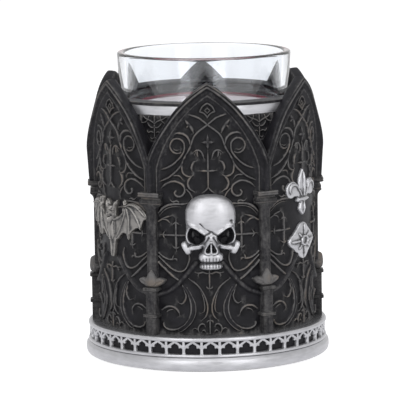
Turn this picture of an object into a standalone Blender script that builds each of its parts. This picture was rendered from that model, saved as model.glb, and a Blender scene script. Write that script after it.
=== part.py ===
"""Tea light candle holder: a round cast resin body with six gothic arches, a skull, a bat and a carved
ornament on its panels, a glass cup that stands in a well in its top, a paper disc under the glass and a
felt pad under the foot.

Lengths are in metres and +Z is up. The origin is at the middle of the underside, and the panel with the
skull faces -Y.
"""

import bmesh
import bpy
from math import acos, asin, cos, hypot, pi, radians, sin, sqrt, tau
from mathutils import Matrix, Vector
from mathutils.geometry import delaunay_2d_cdt

# Felt pad and the shallow recess that it is glued into
FELT_THICKNESS = 0.0008
FELT_PROUD = 0.0004
FELT_RADIUS = 0.0407
TOUCH_GAP = 0.0003

# Foot: a moulded ring, a ring of small bays and a rail above them
FOOT_RADIUS = 0.0440
FOOT_RIM_WIDTH = 0.0015
FOOT_HEIGHT = 0.0048
BAY_COUNT = 42
BAY_WALL_RADIUS = 0.0426
BAY_FLOOR_Z = 0.0056
BAY_SILL = 0.0006
BAY_HEIGHT = 0.0040
BAY_WIDTH = 0.0050
BAY_DEPTH = 0.0012
RAIL_RADIUS = 0.0431
RAIL_HEIGHT = 0.0023

# Wall with its six pointed arches
PANEL_COUNT = 6
WALL_RADIUS = 0.0387
WALL_FACETS = 36
COLUMN_HEIGHT = 0.0501
ARCH_SPRING_DROP = 0.0026
ARCH_RISE = 0.0412
ARCH_CENTRE_OFFSET = 0.0228
FRAME_RADIUS = 0.0406
FRAME_BEVEL = 0.0007
FRAME_FILLET = 0.0015
FRAME_GROOVE = 0.0008
FRAME_BEAD = 0.0011
FRAME_SLOPE = 0.0013
FRAME_STEPS = 5
FRAME_SWELL = 0.0020
FRAME_SWELL_RISE = 0.0145
FRAME_SWELL_FADE = 0.0175
FRAME_SWELL_FOOT = 0.60

# Collar behind the arches, and the well for the glass
COLLAR_RADIUS = 0.0364
COLLAR_RISE = 0.0338
BAND_HEIGHT = 0.0033
LIP_HEIGHT = 0.0012
BAND_PROUD = 0.0003
WELL_DEPTH = 0.0074

# Pilasters between the arches
SHAFT_WIDTH = 0.0039
SHAFT_RADIUS = 0.0404
LOWER_SHAFT_RADIUS = 0.0416
SHAFT_CHAMFER = 0.0007
RING_WIDTH = 0.0056
RING_HEIGHT = 0.0013
RING_RADIUS = 0.0422
RING_RISES = (0.0058, 0.0152)
FINIAL_WIDTH = 0.0098
FINIAL_HEIGHT = 0.0063
FINIAL_RADIUS = 0.0418
CAPITAL_WIDTH = 0.0080
CAPITAL_HEIGHT = 0.0029
CAPITAL_RADIUS = 0.0415
ABACUS_WIDTH = 0.0084
ABACUS_HEIGHT = 0.0014
ABACUS_RADIUS = 0.0424
MULLION_WIDTH = 0.0019
MULLION_RISE = 0.0160
MULLION_PROUD = 0.0003

# Carved ribs on the panels; their drawing is in units of one millimetre, laid on the drawing radius
DRAWING_RADIUS = 0.0395
UNIT = 0.001
DRAWN_FOOT_TOP = 12.5
DRAWN_ABACUS_TOP = 62.6
RELIEF_ROOT = 0.0005
RIB_WIDTH = 0.0009
RIB_HEIGHT = 0.0007
BAR_WIDTH = 0.0017
BAR_HEIGHT = 0.0011
RIB_TAPER = 0.6
POINT_TAPER = 0.1
MERGE_DISTANCE = 0.02
FLAT_ANGLE = radians(1.5)

# Skull on the front panel: place beside its middle line, and its hollows' places and half sizes (along
# the wall, up, out of the wall)
SKULL_SIDEWAYS = 0.0006
SOCKET_CENTRE = (0.0045, 0.0474, 0.0048)
SOCKET_SIZE = (0.0032, 0.0024, 0.0025)
SOCKET_LEAN = 0.40
NOSTRIL_CENTRE = (0.0010, 0.0434, 0.0046)
NOSTRIL_SIZE = (0.0007, 0.0016, 0.0016)
NOSTRIL_LEAN = -0.20

# Bat and ornament on the side panels
BAT_RELIEF = 0.0016
ORNAMENT_RELIEF = 0.0011
ORNAMENT_SIDEWAYS = -0.0007

# Glass cup
GLASS_FOOT_RADIUS = 0.0240
GLASS_WAIST_RADIUS = 0.0290
GLASS_RIM_RADIUS = 0.0312
GLASS_HEIGHT = 0.0215
GLASS_WALL = 0.0027
GLASS_FLOOR = 0.0040
GLASS_CLEARANCE = 0.0003
GLASS_FACETS = 32

# Paper disc under the glass
DISC_RADIUS = 0.0240
DISC_THICKNESS = 0.0004

PANEL_ANGLE = tau / PANEL_COUNT
HALF_PANEL = 0.5 * PANEL_ANGLE * DRAWING_RADIUS
FOOT_TOP_Z = BAY_FLOOR_Z + BAY_SILL + BAY_HEIGHT + RAIL_HEIGHT
RING_LEVELS = tuple(FOOT_TOP_Z + rise for rise in RING_RISES)
ABACUS_TOP_Z = FOOT_TOP_Z + COLUMN_HEIGHT
ARCH_SPRING_Z = ABACUS_TOP_Z - ARCH_SPRING_DROP
ARCH_RADIUS = hypot(ARCH_CENTRE_OFFSET, ARCH_RISE)
MULLION_TOP_Z = ARCH_SPRING_Z + MULLION_RISE
FRAME_SWELL_Z = ARCH_SPRING_Z + FRAME_SWELL_RISE
COLLAR_TOP_Z = ARCH_SPRING_Z + COLLAR_RISE
FRAME_FOOT_Z = ABACUS_TOP_Z - ABACUS_HEIGHT
FILLET_INSET = FRAME_BEVEL + FRAME_FILLET
GROOVE_INSET = FILLET_INSET + FRAME_GROOVE
BEAD_INSET = GROOVE_INSET + FRAME_BEAD
# The frame's section: inset, radius, and how much of the swell it takes
FRAME_SECTION = (
    (0.0, FRAME_RADIUS - 0.0011, 1.0),
    (FRAME_BEVEL, FRAME_RADIUS, 1.0),
    (FILLET_INSET, FRAME_RADIUS, 1.0),
    (GROOVE_INSET, FRAME_RADIUS - 0.0011, 0.35),
    (BEAD_INSET, FRAME_RADIUS - 0.0004, 0.0),
    (BEAD_INSET + FRAME_SLOPE, WALL_RADIUS, 0.0),
)
WELL_RADIUS = GLASS_WAIST_RADIUS + GLASS_CLEARANCE
WELL_FLOOR_Z = COLLAR_TOP_Z - WELL_DEPTH
DISC_Z = WELL_FLOOR_Z + TOUCH_GAP
GLASS_Z = DISC_Z + DISC_THICKNESS + TOUCH_GAP


# Ribs of a panel's right half, which are mirrored on its left: the points that each one runs through, in
# drawing units from the panel's middle and above the foot, and the number of steps along it
THIN_RIBS = (
    # the ogee that starts as a hooked leaf, crosses its twin and ends as a bracket beside the sword
    (((5.0, 83.8), (7.9, 88.4), (6.4, 89.8), (3.4, 89.1), (0.0, 86.5), (-4.3, 83.1), (-6.0, 79.2),
      (-8.3, 75.1), (-9.3, 71.4), (-8.2, 68.9), (-5.4, 68.7)), 9),
    # the scroll beside the capital
    (((16.8, 64.5), (12.4, 66.7), (8.8, 65.3), (9.0, 62.1), (11.9, 62.2)), 4),
    # the curves that meet above the spear
    (((7.0, 32.0), (1.9, 26.3), (0.8, 21.5), (3.0, 17.5)), 3),
)
THICK_RIBS = (
    # the bar from the jaw to the pilaster's upper ring, and the large scroll under it
    (((4.8, 38.0), (9.4, 32.3), (13.6, 28.5), (18.8, 26.5)), 2),
    (((8.6, 29.8), (6.0, 20.5), (12.0, 13.9), (16.8, 15.6)), 5),
    # the cross beside the skull
    (((11.8, 53.2), (11.8, 42.0)), 1),
    (((8.6, 47.9), (17.4, 47.9)), 1),
)
# Ribs on or across the middle line: the sword, the small cross and the spear
MIDDLE_RIBS = (
    (((0.0, 77.6), (0.0, 64.4)), 1),
    (((-3.0, 70.4), (3.0, 70.4)), 1),
    (((0.0, 35.6), (0.0, 28.4)), 1),
    (((-4.6, 34.1), (4.6, 34.1)), 1),
    (((0.0, 18.6), (0.0, 13.2)), 1),
)
# The lozenge under the arch's tip and the four-pointed star
POINTED_RIBS = (
    ((0.0, 93.8), (0.0, 91.4), (0.0, 89.0)),
    ((-2.3, 80.4), (0.0, 80.4), (2.3, 80.4)),
    ((0.0, 82.9), (0.0, 80.4), (0.0, 77.9)),
)
SPIRAL_CENTRE = (10.8, 79.1)
SPIRAL_RADIUS = 2.6
SPIRAL_TAIL = ((9.4, 75.6), (12.0, 73.1), (17.2, 70.6))
SPIRAL_STEPS = 6
SPIRAL_ANGLES = (-115, 190)


def clear_scene():
    """Remove every object of the open scene."""
    for item in list(bpy.data.objects):
        bpy.data.objects.remove(item, do_unlink=True)


def make_material(name, colour, roughness, metallic=0.0, transmission=0.0):
    """A plain Principled material."""
    material = bpy.data.materials.new(name)
    material.use_nodes = True
    shader = material.node_tree.nodes["Principled BSDF"]
    shader.inputs["Base Color"].default_value = (*colour, 1.0)
    shader.inputs["Roughness"].default_value = roughness
    shader.inputs["Metallic"].default_value = metallic
    shader.inputs["Transmission Weight"].default_value = transmission
    return material


def make_object(name, bm, material=None):
    """Turn a bmesh into a named object with its faces pointing out."""
    bmesh.ops.recalc_face_normals(bm, faces=bm.faces[:])
    mesh = bpy.data.meshes.new(name)
    bm.to_mesh(mesh)
    bm.free()
    if material:
        mesh.materials.append(material)
    item = bpy.data.objects.new(name, mesh)
    bpy.context.scene.collection.objects.link(item)
    return item


def make_tool(name, bm, group):
    """An object that only adds to or cuts from the body, at the body's height, in a collection of its own."""
    item = make_object(name, bm)
    item.location.z = FELT_PROUD
    bpy.context.scene.collection.objects.unlink(item)
    group.objects.link(item)
    item.hide_render = True
    item.display_type = "WIRE"
    return item


def make_group(name):
    """A collection for the tools of one Boolean."""
    group = bpy.data.collections.new(name)
    bpy.context.scene.collection.children.link(group)
    return group


def combine(item, group, operation):
    """Join or cut an object with all the tools of a group."""
    boolean = item.modifiers.new(group.name, "BOOLEAN")
    boolean.solver = "EXACT"
    boolean.operation = operation
    boolean.operand_type = "COLLECTION"
    boolean.collection = group


def shade_round(item, angle):
    """Smooth shading, with the edges sharper than the angle kept."""
    item.data.shade_smooth()
    item.data.set_sharp_from_angle(angle=angle)


def turn(bm, profile, facets):
    """A solid of revolution; its profile of (radius, height) starts and ends on the axis."""
    rows = []
    for radius, height in profile:
        if radius == 0.0:
            rows.append([bm.verts.new((0.0, 0.0, height))])
            continue
        ring = []
        for step in range(facets):
            angle = tau * (step + 0.5) / facets
            ring.append(bm.verts.new((radius * sin(angle), -radius * cos(angle), height)))
        rows.append(ring)
    for lower, upper in zip(rows, rows[1:]):
        for step in range(facets):
            after = (step + 1) % facets
            if len(lower) == 1:
                bm.faces.new((lower[0], upper[step], upper[after]))
            elif len(upper) == 1:
                bm.faces.new((lower[step], lower[after], upper[0]))
            else:
                bm.faces.new((lower[step], lower[after], upper[after], upper[step]))


def wall_point(u, z, radius, middle=0.0):
    """A point u to the right of a panel's middle, along the drawing radius, at a height and radius."""
    angle = u / DRAWING_RADIUS + middle
    return Vector((radius * sin(angle), -radius * cos(angle), z))


def skin(bm, rows, closed=True):
    """Quads between rows of points, capped at both ends; each row is a closed section."""
    rings = [[bm.verts.new(point) for point in row] for row in rows]
    count = len(rings[0])
    for ring, after in zip(rings, rings[1:]):
        for step in range(count):
            following = (step + 1) % count
            bm.faces.new((ring[step], ring[following], after[following], after[step]))
    if closed:
        bm.faces.new(rings[0][::-1])
        bm.faces.new(rings[-1])


def drawn_level(z):
    """The height of a level of the drawings, which follow the columns from the foot to the abacus."""
    if z > DRAWN_ABACUS_TOP:
        return z + ABACUS_TOP_Z / UNIT - DRAWN_ABACUS_TOP
    share = (z - DRAWN_FOOT_TOP) / (DRAWN_ABACUS_TOP - DRAWN_FOOT_TOP)
    return (FOOT_TOP_Z + COLUMN_HEIGHT * share) / UNIT


def drawn(points):
    """Points of a drawing at the heights where they stand on the wall."""
    return [(u, drawn_level(z)) for u, z in points]


def smooth_path(points, count):
    """A smooth curve through the points, in so many even steps (Catmull-Rom)."""
    knots = [Vector(point) for point in points]
    knots = [2 * knots[0] - knots[1], *knots, 2 * knots[-1] - knots[-2]]
    spans = len(knots) - 3
    path = []
    for step in range(count + 1):
        place = spans * step / count
        first = min(int(place), spans - 1)
        t = place - first
        a, b, c, d = knots[first:first + 4]
        path.append(0.5 * (2 * b + (c - a) * t + (2 * a - 5 * b + 4 * c - d) * t ** 2
                           + (3 * b - a - 3 * c + d) * t ** 3))
    return path


def arc_path(centre, radius, start, end, count):
    """Points on a circle, from one angle to another, in degrees from the right."""
    path = []
    for step in range(count + 1):
        angle = radians(start + (end - start) * step / count)
        path.append(Vector(centre) + radius * Vector((cos(angle), sin(angle))))
    return path


def offset_path(path, distance, taper):
    """The path moved sideways, by less at its two ends."""
    moved = []
    last = len(path) - 1
    for step, point in enumerate(path):
        run = (path[min(step + 1, last)] - path[max(step - 1, 0)]).normalized()
        share = taper if step in (0, last) else 1.0
        moved.append(point + Vector((-run.y, run.x)) * distance * share)
    return moved


def crest_path(path, half):
    """The rib's crest, which ends short of the rib's two ends."""
    crest = [point.copy() for point in path]
    crest[0] += (path[1] - path[0]).normalized() * half
    crest[-1] += (path[-2] - path[-1]).normalized() * half
    return crest


def distance_to(path, point):
    """The distance from a point to a path."""
    best = None
    for start, end in zip(path, path[1:]):
        run = end - start
        share = max(0.0, min(1.0, (point - start).dot(run) / run.length_squared))
        gap = (point - start - run * share).length
        best = gap if best is None else min(best, gap)
    return best


def add_plate(bm, outline, height, inner=WALL_RADIUS - RELIEF_ROOT, base=WALL_RADIUS):
    """A raised flat shape with an outline in (u, z) drawing units, bent round the wall."""
    flat = bmesh.new()
    lower = [flat.verts.new((u * UNIT, 0.0, z * UNIT)) for u, z in outline]
    upper = [flat.verts.new((u * UNIT, 1.0, z * UNIT)) for u, z in outline]
    flat.faces.new(lower)
    flat.faces.new(upper[::-1])
    for step in range(len(outline)):
        after = (step + 1) % len(outline)
        flat.faces.new((lower[step], upper[step], upper[after], lower[after]))
    pitch = DRAWING_RADIUS * tau / WALL_FACETS
    edge = min(u for u, z in outline) * UNIT
    cut = (int(edge / pitch) - 1.5) * pitch
    while cut < max(u for u, z in outline) * UNIT:
        geometry = flat.verts[:] + flat.edges[:] + flat.faces[:]
        bmesh.ops.bisect_plane(flat, geom=geometry, plane_co=(cut, 0, 0), plane_no=(1, 0, 0), dist=1e-6)
        cut += pitch
    for vert in flat.verts:
        radius = inner if vert.co.y < 0.5 else base + height
        vert.co = wall_point(vert.co.x, vert.co.z, radius)
    bmesh.ops.recalc_face_normals(flat, faces=flat.faces[:])
    append_mesh(bm, flat)


def append_mesh(bm, other, matrix=None):
    """Copy another bmesh into this one and free it."""
    if matrix:
        bmesh.ops.transform(other, matrix=matrix, verts=other.verts[:])
    scratch = bpy.data.meshes.new("scratch")
    other.to_mesh(scratch)
    other.free()
    bm.from_mesh(scratch)
    bpy.data.meshes.remove(scratch)


def mirror_path(path):
    """The same path on the other side of the panel's middle line."""
    return [Vector((-point.x, point.y)) for point in path]


def around(draw, angles):
    """One bmesh with the drawn solid turned to each of the angles."""
    whole = bmesh.new()
    for angle in angles:
        single = bmesh.new()
        draw(single)
        bmesh.ops.recalc_face_normals(single, faces=single.faces[:])
        append_mesh(whole, single, Matrix.Rotation(angle, 4, "Z"))
    return whole


def panel_angles():
    """The middle of each panel, from the front one round."""
    return [PANEL_ANGLE * number for number in range(PANEL_COUNT)]


def pilaster_angles():
    """The middle of each pilaster, half way between the panels."""
    return [PANEL_ANGLE * (number + 0.5) for number in range(PANEL_COUNT)]


def foot_profile():
    """The moulded foot, from the recess for the felt up to the top of the rail."""
    recess = FELT_THICKNESS - FELT_PROUD + TOUCH_GAP
    recess_radius = FELT_RADIUS + TOUCH_GAP
    rim = recess_radius + FOOT_RIM_WIDTH
    rail_z = BAY_FLOOR_Z + BAY_SILL + BAY_HEIGHT
    return (
        (0.0, recess),
        (recess_radius, recess),
        (recess_radius, 0.0),
        (rim, 0.0),
        (FOOT_RADIUS, 0.35 * FOOT_HEIGHT),
        (FOOT_RADIUS - 0.2 * FOOT_RIM_WIDTH, 0.8 * FOOT_HEIGHT),
        (BAY_WALL_RADIUS - 0.3 * FOOT_RIM_WIDTH, FOOT_HEIGHT),
        (BAY_WALL_RADIUS, BAY_FLOOR_Z),
        (BAY_WALL_RADIUS, rail_z),
        (RAIL_RADIUS, rail_z + 0.35 * RAIL_HEIGHT),
        (RAIL_RADIUS - 0.0012, FOOT_TOP_Z),
        (0.0, FOOT_TOP_Z),
    )


def draw_bay(bm):
    """The hollow of one small bay, with a head of three lobes."""
    half = 0.5 * BAY_WIDTH
    sill = BAY_FLOOR_Z + BAY_SILL
    outline = (
        (-half, sill),
        (half, sill),
        (0.92 * half, sill + 0.60 * BAY_HEIGHT),
        (0.44 * half, sill + 0.58 * BAY_HEIGHT),
        (0.0, sill + 0.97 * BAY_HEIGHT),
        (-0.44 * half, sill + 0.58 * BAY_HEIGHT),
        (-0.92 * half, sill + 0.60 * BAY_HEIGHT),
    )
    back = -(BAY_WALL_RADIUS - BAY_DEPTH)
    front = -(BAY_WALL_RADIUS + BAY_DEPTH)
    skin(bm, [[Vector((x, y, z)) for x, z in outline] for y in (back, front)])


def frame_swell(z):
    """How far the frame swells out where two arches meet, at a height."""
    if z < FRAME_SWELL_Z:
        share = (FRAME_SWELL_Z - z) / (FRAME_SWELL_Z - FRAME_FOOT_Z)
        return FRAME_SWELL * (1.0 - (1.0 - FRAME_SWELL_FOOT) * share)
    share = min((z - FRAME_SWELL_Z) / FRAME_SWELL_FADE, 1.0)
    return FRAME_SWELL * 0.5 * (1.0 + cos(pi * share))


def frame_radius(u, z):
    """The radius of the arch's moulded frame at a point of the panel, or of the plain wall."""
    if z < FRAME_FOOT_Z - 1e-6:
        return WALL_RADIUS
    inset = ARCH_RADIUS - hypot(abs(u) + ARCH_CENTRE_OFFSET, z - ARCH_SPRING_Z)
    for (near, near_radius, near_part), (far, far_radius, far_part) in zip(FRAME_SECTION, FRAME_SECTION[1:]):
        if inset <= far:
            share = max(inset - near, 0.0) / (far - near)
            part = near_part + (far_part - near_part) * share
            return near_radius + (far_radius - near_radius) * share + part * frame_swell(z)
    return WALL_RADIUS


def frame_line(inset):
    """A line of the frame's moulding, from the panel's edge or the capital up to the tip."""
    curve = ARCH_RADIUS - inset
    low = asin((FRAME_FOOT_Z - ARCH_SPRING_Z) / curve)
    reach = ARCH_CENTRE_OFFSET + HALF_PANEL
    if curve * cos(low) > reach:
        low = acos(reach / curve)
    high = acos(ARCH_CENTRE_OFFSET / curve)
    line = []
    for step in range(FRAME_STEPS + 1):
        angle = low + (high - low) * step / FRAME_STEPS
        u = max(curve * cos(angle) - ARCH_CENTRE_OFFSET, 0.0)
        line.append(Vector((u, ARCH_SPRING_Z + curve * sin(angle))) / UNIT)
    return line


def panel_outline():
    """The edge of one panel, in drawing units: its foot, its two sides and its arch."""
    edge = HALF_PANEL / UNIT
    levels = [FOOT_TOP_Z - RELIEF_ROOT, FRAME_FOOT_Z - RELIEF_ROOT, FRAME_FOOT_Z]
    side = [Vector((edge, level / UNIT)) for level in levels]
    for inset, _, _ in FRAME_SECTION[:0:-1]:
        start = frame_line(inset)[0]
        if start.x > edge - MERGE_DISTANCE:
            side.append(start)
    right = side + frame_line(0.0)
    return right + mirror_path(right[-2::-1])


class Drawing:
    """Points and lines in the plane of a panel, which a mesh is then laid through."""

    def __init__(self, outline):
        self.points = list(outline)
        count = len(outline)
        self.loop = list(range(count))
        self.links = [(step, (step + 1) % count) for step in range(count)]

    def add(self, line, closed=False):
        """Add a line that the mesh's edges follow."""
        first = len(self.points)
        count = len(line)
        self.points.extend(line)
        self.links.extend((first + step, first + step + 1) for step in range(count - 1))
        if closed:
            self.links.append((first + count - 1, first))

    def lay(self, bm, place):
        """Lay triangles through the lines; gives the outline's verts in order."""
        result = delaunay_2d_cdt(self.points, self.links, [self.loop], 1, MERGE_DISTANCE)
        flat, triangles, sources = result[0], result[2], result[3]
        verts = [bm.verts.new(place(point)) for point in flat]
        for triangle in triangles:
            bm.faces.new([verts[number] for number in triangle])
        edge = {source: verts[number] for number, group in enumerate(sources) for source in group}
        return [edge[number] for number in self.loop]


def panel_ribs():
    """Every carved rib of a panel, as a path with its half width and its height."""
    ribs = []
    for drawings, width, height in ((THIN_RIBS, RIB_WIDTH, RIB_HEIGHT), (THICK_RIBS, BAR_WIDTH, BAR_HEIGHT)):
        for points, steps in drawings:
            path = smooth_path(drawn(points), steps)
            ribs.append((path, width, height, RIB_TAPER))
            ribs.append((mirror_path(path), width, height, RIB_TAPER))
    spiral = arc_path(drawn([SPIRAL_CENTRE])[0], SPIRAL_RADIUS, *SPIRAL_ANGLES, SPIRAL_STEPS)
    spiral += [Vector(point) for point in drawn(SPIRAL_TAIL)]
    ribs.append((spiral, RIB_WIDTH, RIB_HEIGHT, RIB_TAPER))
    ribs.append((mirror_path(spiral), RIB_WIDTH, RIB_HEIGHT, RIB_TAPER))
    for points, steps in MIDDLE_RIBS:
        ribs.append((smooth_path(drawn(points), steps), RIB_WIDTH, RIB_HEIGHT, RIB_TAPER))
    for points in POINTED_RIBS:
        ribs.append((smooth_path(drawn(points), 2), BAR_WIDTH, RIB_HEIGHT, POINT_TAPER))
    return [(path, 0.5 * width / UNIT, height, taper) for path, width, height, taper in ribs]


def draw_panel(bm):
    """One panel of the wall: its carved front, its back and the edge of its arch."""
    front = Drawing(panel_outline())
    for inset, _, _ in FRAME_SECTION[1:]:
        line = frame_line(inset)
        front.add(line)
        front.add(mirror_path(line))
    crests = []
    for path, half, height, taper in panel_ribs():
        front.add(offset_path(path, half, taper) + offset_path(path, -half, taper)[::-1], closed=True)
        crest = crest_path(path, half)
        front.add(crest)
        crests.append((crest, half, height))

    def front_point(flat):
        radius = frame_radius(flat.x * UNIT, flat.y * UNIT)
        for crest, half, height in crests:
            share = 1.0 - distance_to(crest, flat) / half
            radius = max(radius, WALL_RADIUS + height * share)
        return wall_point(flat.x * UNIT, flat.y * UNIT, radius)

    def back_point(flat):
        return wall_point(flat.x * UNIT, flat.y * UNIT, COLLAR_RADIUS - RELIEF_ROOT)

    back = Drawing(panel_outline())
    for share in (-0.3, 0.0, 0.3):
        u = share * HALF_PANEL
        top = ARCH_SPRING_Z + sqrt(ARCH_RADIUS ** 2 - (ARCH_CENTRE_OFFSET + abs(u)) ** 2)
        back.add([Vector((u, FOOT_TOP_Z)) / UNIT, Vector((u, top - FILLET_INSET)) / UNIT])
    front_edge = front.lay(bm, front_point)
    back_edge = back.lay(bm, back_point)
    side = HALF_PANEL / UNIT - MERGE_DISTANCE
    count = len(front_edge)
    for step in range(count):
        after = (step + 1) % count
        if abs(front.points[step].x) > side and front.points[step].x * front.points[after].x > side * side:
            continue
        bm.faces.new((front_edge[step], front_edge[after], back_edge[after], back_edge[step]))


def draw_wall():
    """The wall all round: the panels joined along their sides."""
    wall = bmesh.new()
    for angle in panel_angles():
        panel = bmesh.new()
        draw_panel(panel)
        append_mesh(wall, panel, Matrix.Rotation(angle, 4, "Z"))
    bmesh.ops.remove_doubles(wall, verts=wall.verts[:], dist=MERGE_DISTANCE * UNIT)
    return wall


def collar_profile():
    """The plain drum inside the arches, its painted band, its lip and the well."""
    foot = FOOT_TOP_Z - 3 * RELIEF_ROOT
    lip_z = COLLAR_TOP_Z - LIP_HEIGHT
    band_z = lip_z - BAND_HEIGHT
    band = COLLAR_RADIUS + BAND_PROUD
    return (
        (0.0, foot),
        (COLLAR_RADIUS, foot),
        (COLLAR_RADIUS, band_z),
        (band, band_z),
        (band, lip_z),
        (band + BAND_PROUD, lip_z + 0.3 * LIP_HEIGHT),
        (band, COLLAR_TOP_Z),
        (WELL_RADIUS, COLLAR_TOP_Z),
        (WELL_RADIUS, WELL_FLOOR_Z),
        (0.0, WELL_FLOOR_Z),
    )


def draw_column(bm, width, rows, chamfer):
    """A chamfered column on a pilaster's middle line, through rows of height and radius."""
    half = 0.5 * width
    sections = []
    for z, radius in rows:
        section = (
            (-half, WALL_RADIUS - RELIEF_ROOT),
            (half, WALL_RADIUS - RELIEF_ROOT),
            (half, radius - chamfer),
            (half - chamfer, radius),
            (chamfer - half, radius),
            (-half, radius - chamfer),
        )
        sections.append([Vector((x, -y, z)) for x, y in section])
    skin(bm, sections)


def draw_block(bm, width, bottom, top, radius, chamfer):
    """A chamfered block on a pilaster's middle line."""
    draw_column(bm, width, ((bottom, radius), (top, radius)), chamfer)


def draw_shaft(bm):
    """The pilaster's shaft, from the foot to its capital, thicker below the upper ring."""
    rows = (
        (FOOT_TOP_Z - RELIEF_ROOT, LOWER_SHAFT_RADIUS),
        (RING_LEVELS[-1] + 0.2 * RING_HEIGHT, LOWER_SHAFT_RADIUS),
        (RING_LEVELS[-1] + 0.7 * RING_HEIGHT, SHAFT_RADIUS),
        (ABACUS_TOP_Z - ABACUS_HEIGHT - 0.5 * CAPITAL_HEIGHT, SHAFT_RADIUS),
    )
    draw_column(bm, SHAFT_WIDTH, rows, SHAFT_CHAMFER)


def draw_rings(bm):
    """The two rings round the lower shaft."""
    for level in RING_LEVELS:
        draw_block(bm, RING_WIDTH, level, level + RING_HEIGHT, RING_RADIUS, SHAFT_CHAMFER)


def draw_finial(bm):
    """The three leaves above the upper ring."""
    half = 0.5 * FINIAL_WIDTH / UNIT
    bottom = (RING_LEVELS[-1] + 0.9 * RING_HEIGHT) / UNIT
    height = FINIAL_HEIGHT / UNIT
    right = (
        (0.33 * half, bottom),
        (half, bottom + 0.42 * height),
        (0.60 * half, bottom + 0.57 * height),
        (0.36 * half, bottom + 0.54 * height),
        (0.0, bottom + height),
    )
    outline = [*right, *[(-u, z) for u, z in right[-2::-1]]]
    add_plate(bm, outline, FINIAL_RADIUS - WALL_RADIUS)


def draw_capital(bm):
    """The capital block with the abacus on it."""
    abacus_z = ABACUS_TOP_Z - ABACUS_HEIGHT
    capital_z = abacus_z - CAPITAL_HEIGHT
    draw_block(bm, CAPITAL_WIDTH, capital_z, abacus_z + TOUCH_GAP, CAPITAL_RADIUS, SHAFT_CHAMFER)
    draw_block(bm, ABACUS_WIDTH, abacus_z, ABACUS_TOP_Z, ABACUS_RADIUS, 0.5 * SHAFT_CHAMFER)


def draw_mullion(bm):
    """The narrow shaft between two frames, from the abacus up to where they part."""
    half = 0.5 * MULLION_WIDTH
    inner = COLLAR_RADIUS - RELIEF_ROOT
    proud = FRAME_RADIUS + MULLION_PROUD
    rows = []
    for level in (ABACUS_TOP_Z - 0.3 * ABACUS_HEIGHT, MULLION_TOP_Z - 1.5 * MULLION_WIDTH):
        radius = proud + frame_swell(level)
        corners = ((-half, inner), (half, inner), (half, radius), (-half, radius))
        rows.append([bm.verts.new((x, -y, level)) for x, y in corners])
    lower, shoulder = rows
    peak = [bm.verts.new((0.0, -y, MULLION_TOP_Z)) for y in (inner, proud + frame_swell(MULLION_TOP_Z))]
    bm.faces.new(lower[::-1])
    for step in range(4):
        after = (step + 1) % 4
        bm.faces.new((lower[step], lower[after], shoulder[after], shoulder[step]))
    bm.faces.new((shoulder[0], shoulder[1], peak[0]))
    bm.faces.new((shoulder[1], shoulder[2], peak[1], peak[0]))
    bm.faces.new((shoulder[2], shoulder[3], peak[1]))
    bm.faces.new((shoulder[3], shoulder[0], peak[0], peak[1]))


def relief_point(u, z, height):
    """A point at a height above the wall, from metres along it and above the foot."""
    return wall_point(u, z, WALL_RADIUS + height)


def add_boulder(bm, centre, size, lean, facets):
    """A closed round lump on the wall: its centre and half sizes along the wall, up and out of it."""
    lump = bmesh.new()
    bmesh.ops.create_uvsphere(lump, u_segments=facets[0], v_segments=facets[1], radius=1.0)
    for vert in lump.verts:
        across, out, up = vert.co.x * size[0], -vert.co.y * size[2], vert.co.z * size[1]
        across, up = across * cos(lean) - up * sin(lean), across * sin(lean) + up * cos(lean)
        vert.co = relief_point(centre[0] + across, centre[1] + up, centre[2] + out)
    bmesh.ops.recalc_face_normals(lump, faces=lump.faces[:])
    append_mesh(bm, lump)


def add_pair(bm, centre, size, lean, facets):
    """Two lumps, mirrored about the skull's middle line."""
    for side in (-1, 1):
        place = (SKULL_SIDEWAYS + side * centre[0], drawn_level(centre[1] / UNIT) * UNIT, centre[2])
        add_boulder(bm, place, size, side * lean, facets)


# The skull from its teeth to its crown, in drawing units: height, half width and height off the wall
SKULL_ROWS = (
    (36.2, 2.8, 2.4),
    (37.4, 4.2, 3.5),
    (41.2, 4.5, 4.0),
    (42.3, 7.0, 4.1),
    (44.4, 10.0, 4.2),
    (46.2, 9.5, 4.3),
    (49.6, 8.8, 5.1),
    (53.2, 9.3, 5.2),
    (57.0, 8.9, 4.8),
    (60.0, 7.2, 3.9),
    (61.8, 4.8, 2.7),
    (62.7, 2.2, 1.3),
)
SKULL_FACETS = 10
SKULL_ROUNDNESS = 0.66


def build_skull(group):
    """The skull, lofted up from its teeth, with the eye sockets and the nose cut into it."""
    rows = []
    for level, half, height in SKULL_ROWS:
        row = []
        for step in range(SKULL_FACETS + 1):
            angle = pi * step / SKULL_FACETS
            across = SKULL_SIDEWAYS - half * UNIT * cos(angle)
            rise = (height * UNIT + RELIEF_ROOT) * abs(sin(angle)) ** SKULL_ROUNDNESS - RELIEF_ROOT
            row.append(relief_point(across, drawn_level(level) * UNIT, rise))
        rows.append(row)
    bones = bmesh.new()
    skin(bones, rows)
    skull = make_tool("skull", bones, group)
    hollows = make_group("skull_hollows")
    holes = bmesh.new()
    add_pair(holes, SOCKET_CENTRE, SOCKET_SIZE, SOCKET_LEAN, (8, 4))
    add_pair(holes, NOSTRIL_CENTRE, NOSTRIL_SIZE, NOSTRIL_LEAN, (5, 4))
    make_tool("sockets", holes, hollows)
    combine(skull, hollows, "DIFFERENCE")


# The bat's right half, from the head round the wing to the tail, in drawing units from its own middle
BAT_HALF = (
    (0.0, 56.0), (1.0, 58.4), (1.6, 56.2), (1.8, 54.6), (6.6, 54.8), (7.4, 58.8), (9.0, 57.6),
    (13.6, 56.9), (16.4, 53.2), (13.9, 48.8), (12.0, 49.6), (10.0, 47.6), (9.0, 45.2), (8.0, 47.3),
    (5.6, 46.9), (2.6, 44.2), (1.6, 43.4), (0.6, 38.4),
)


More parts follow.
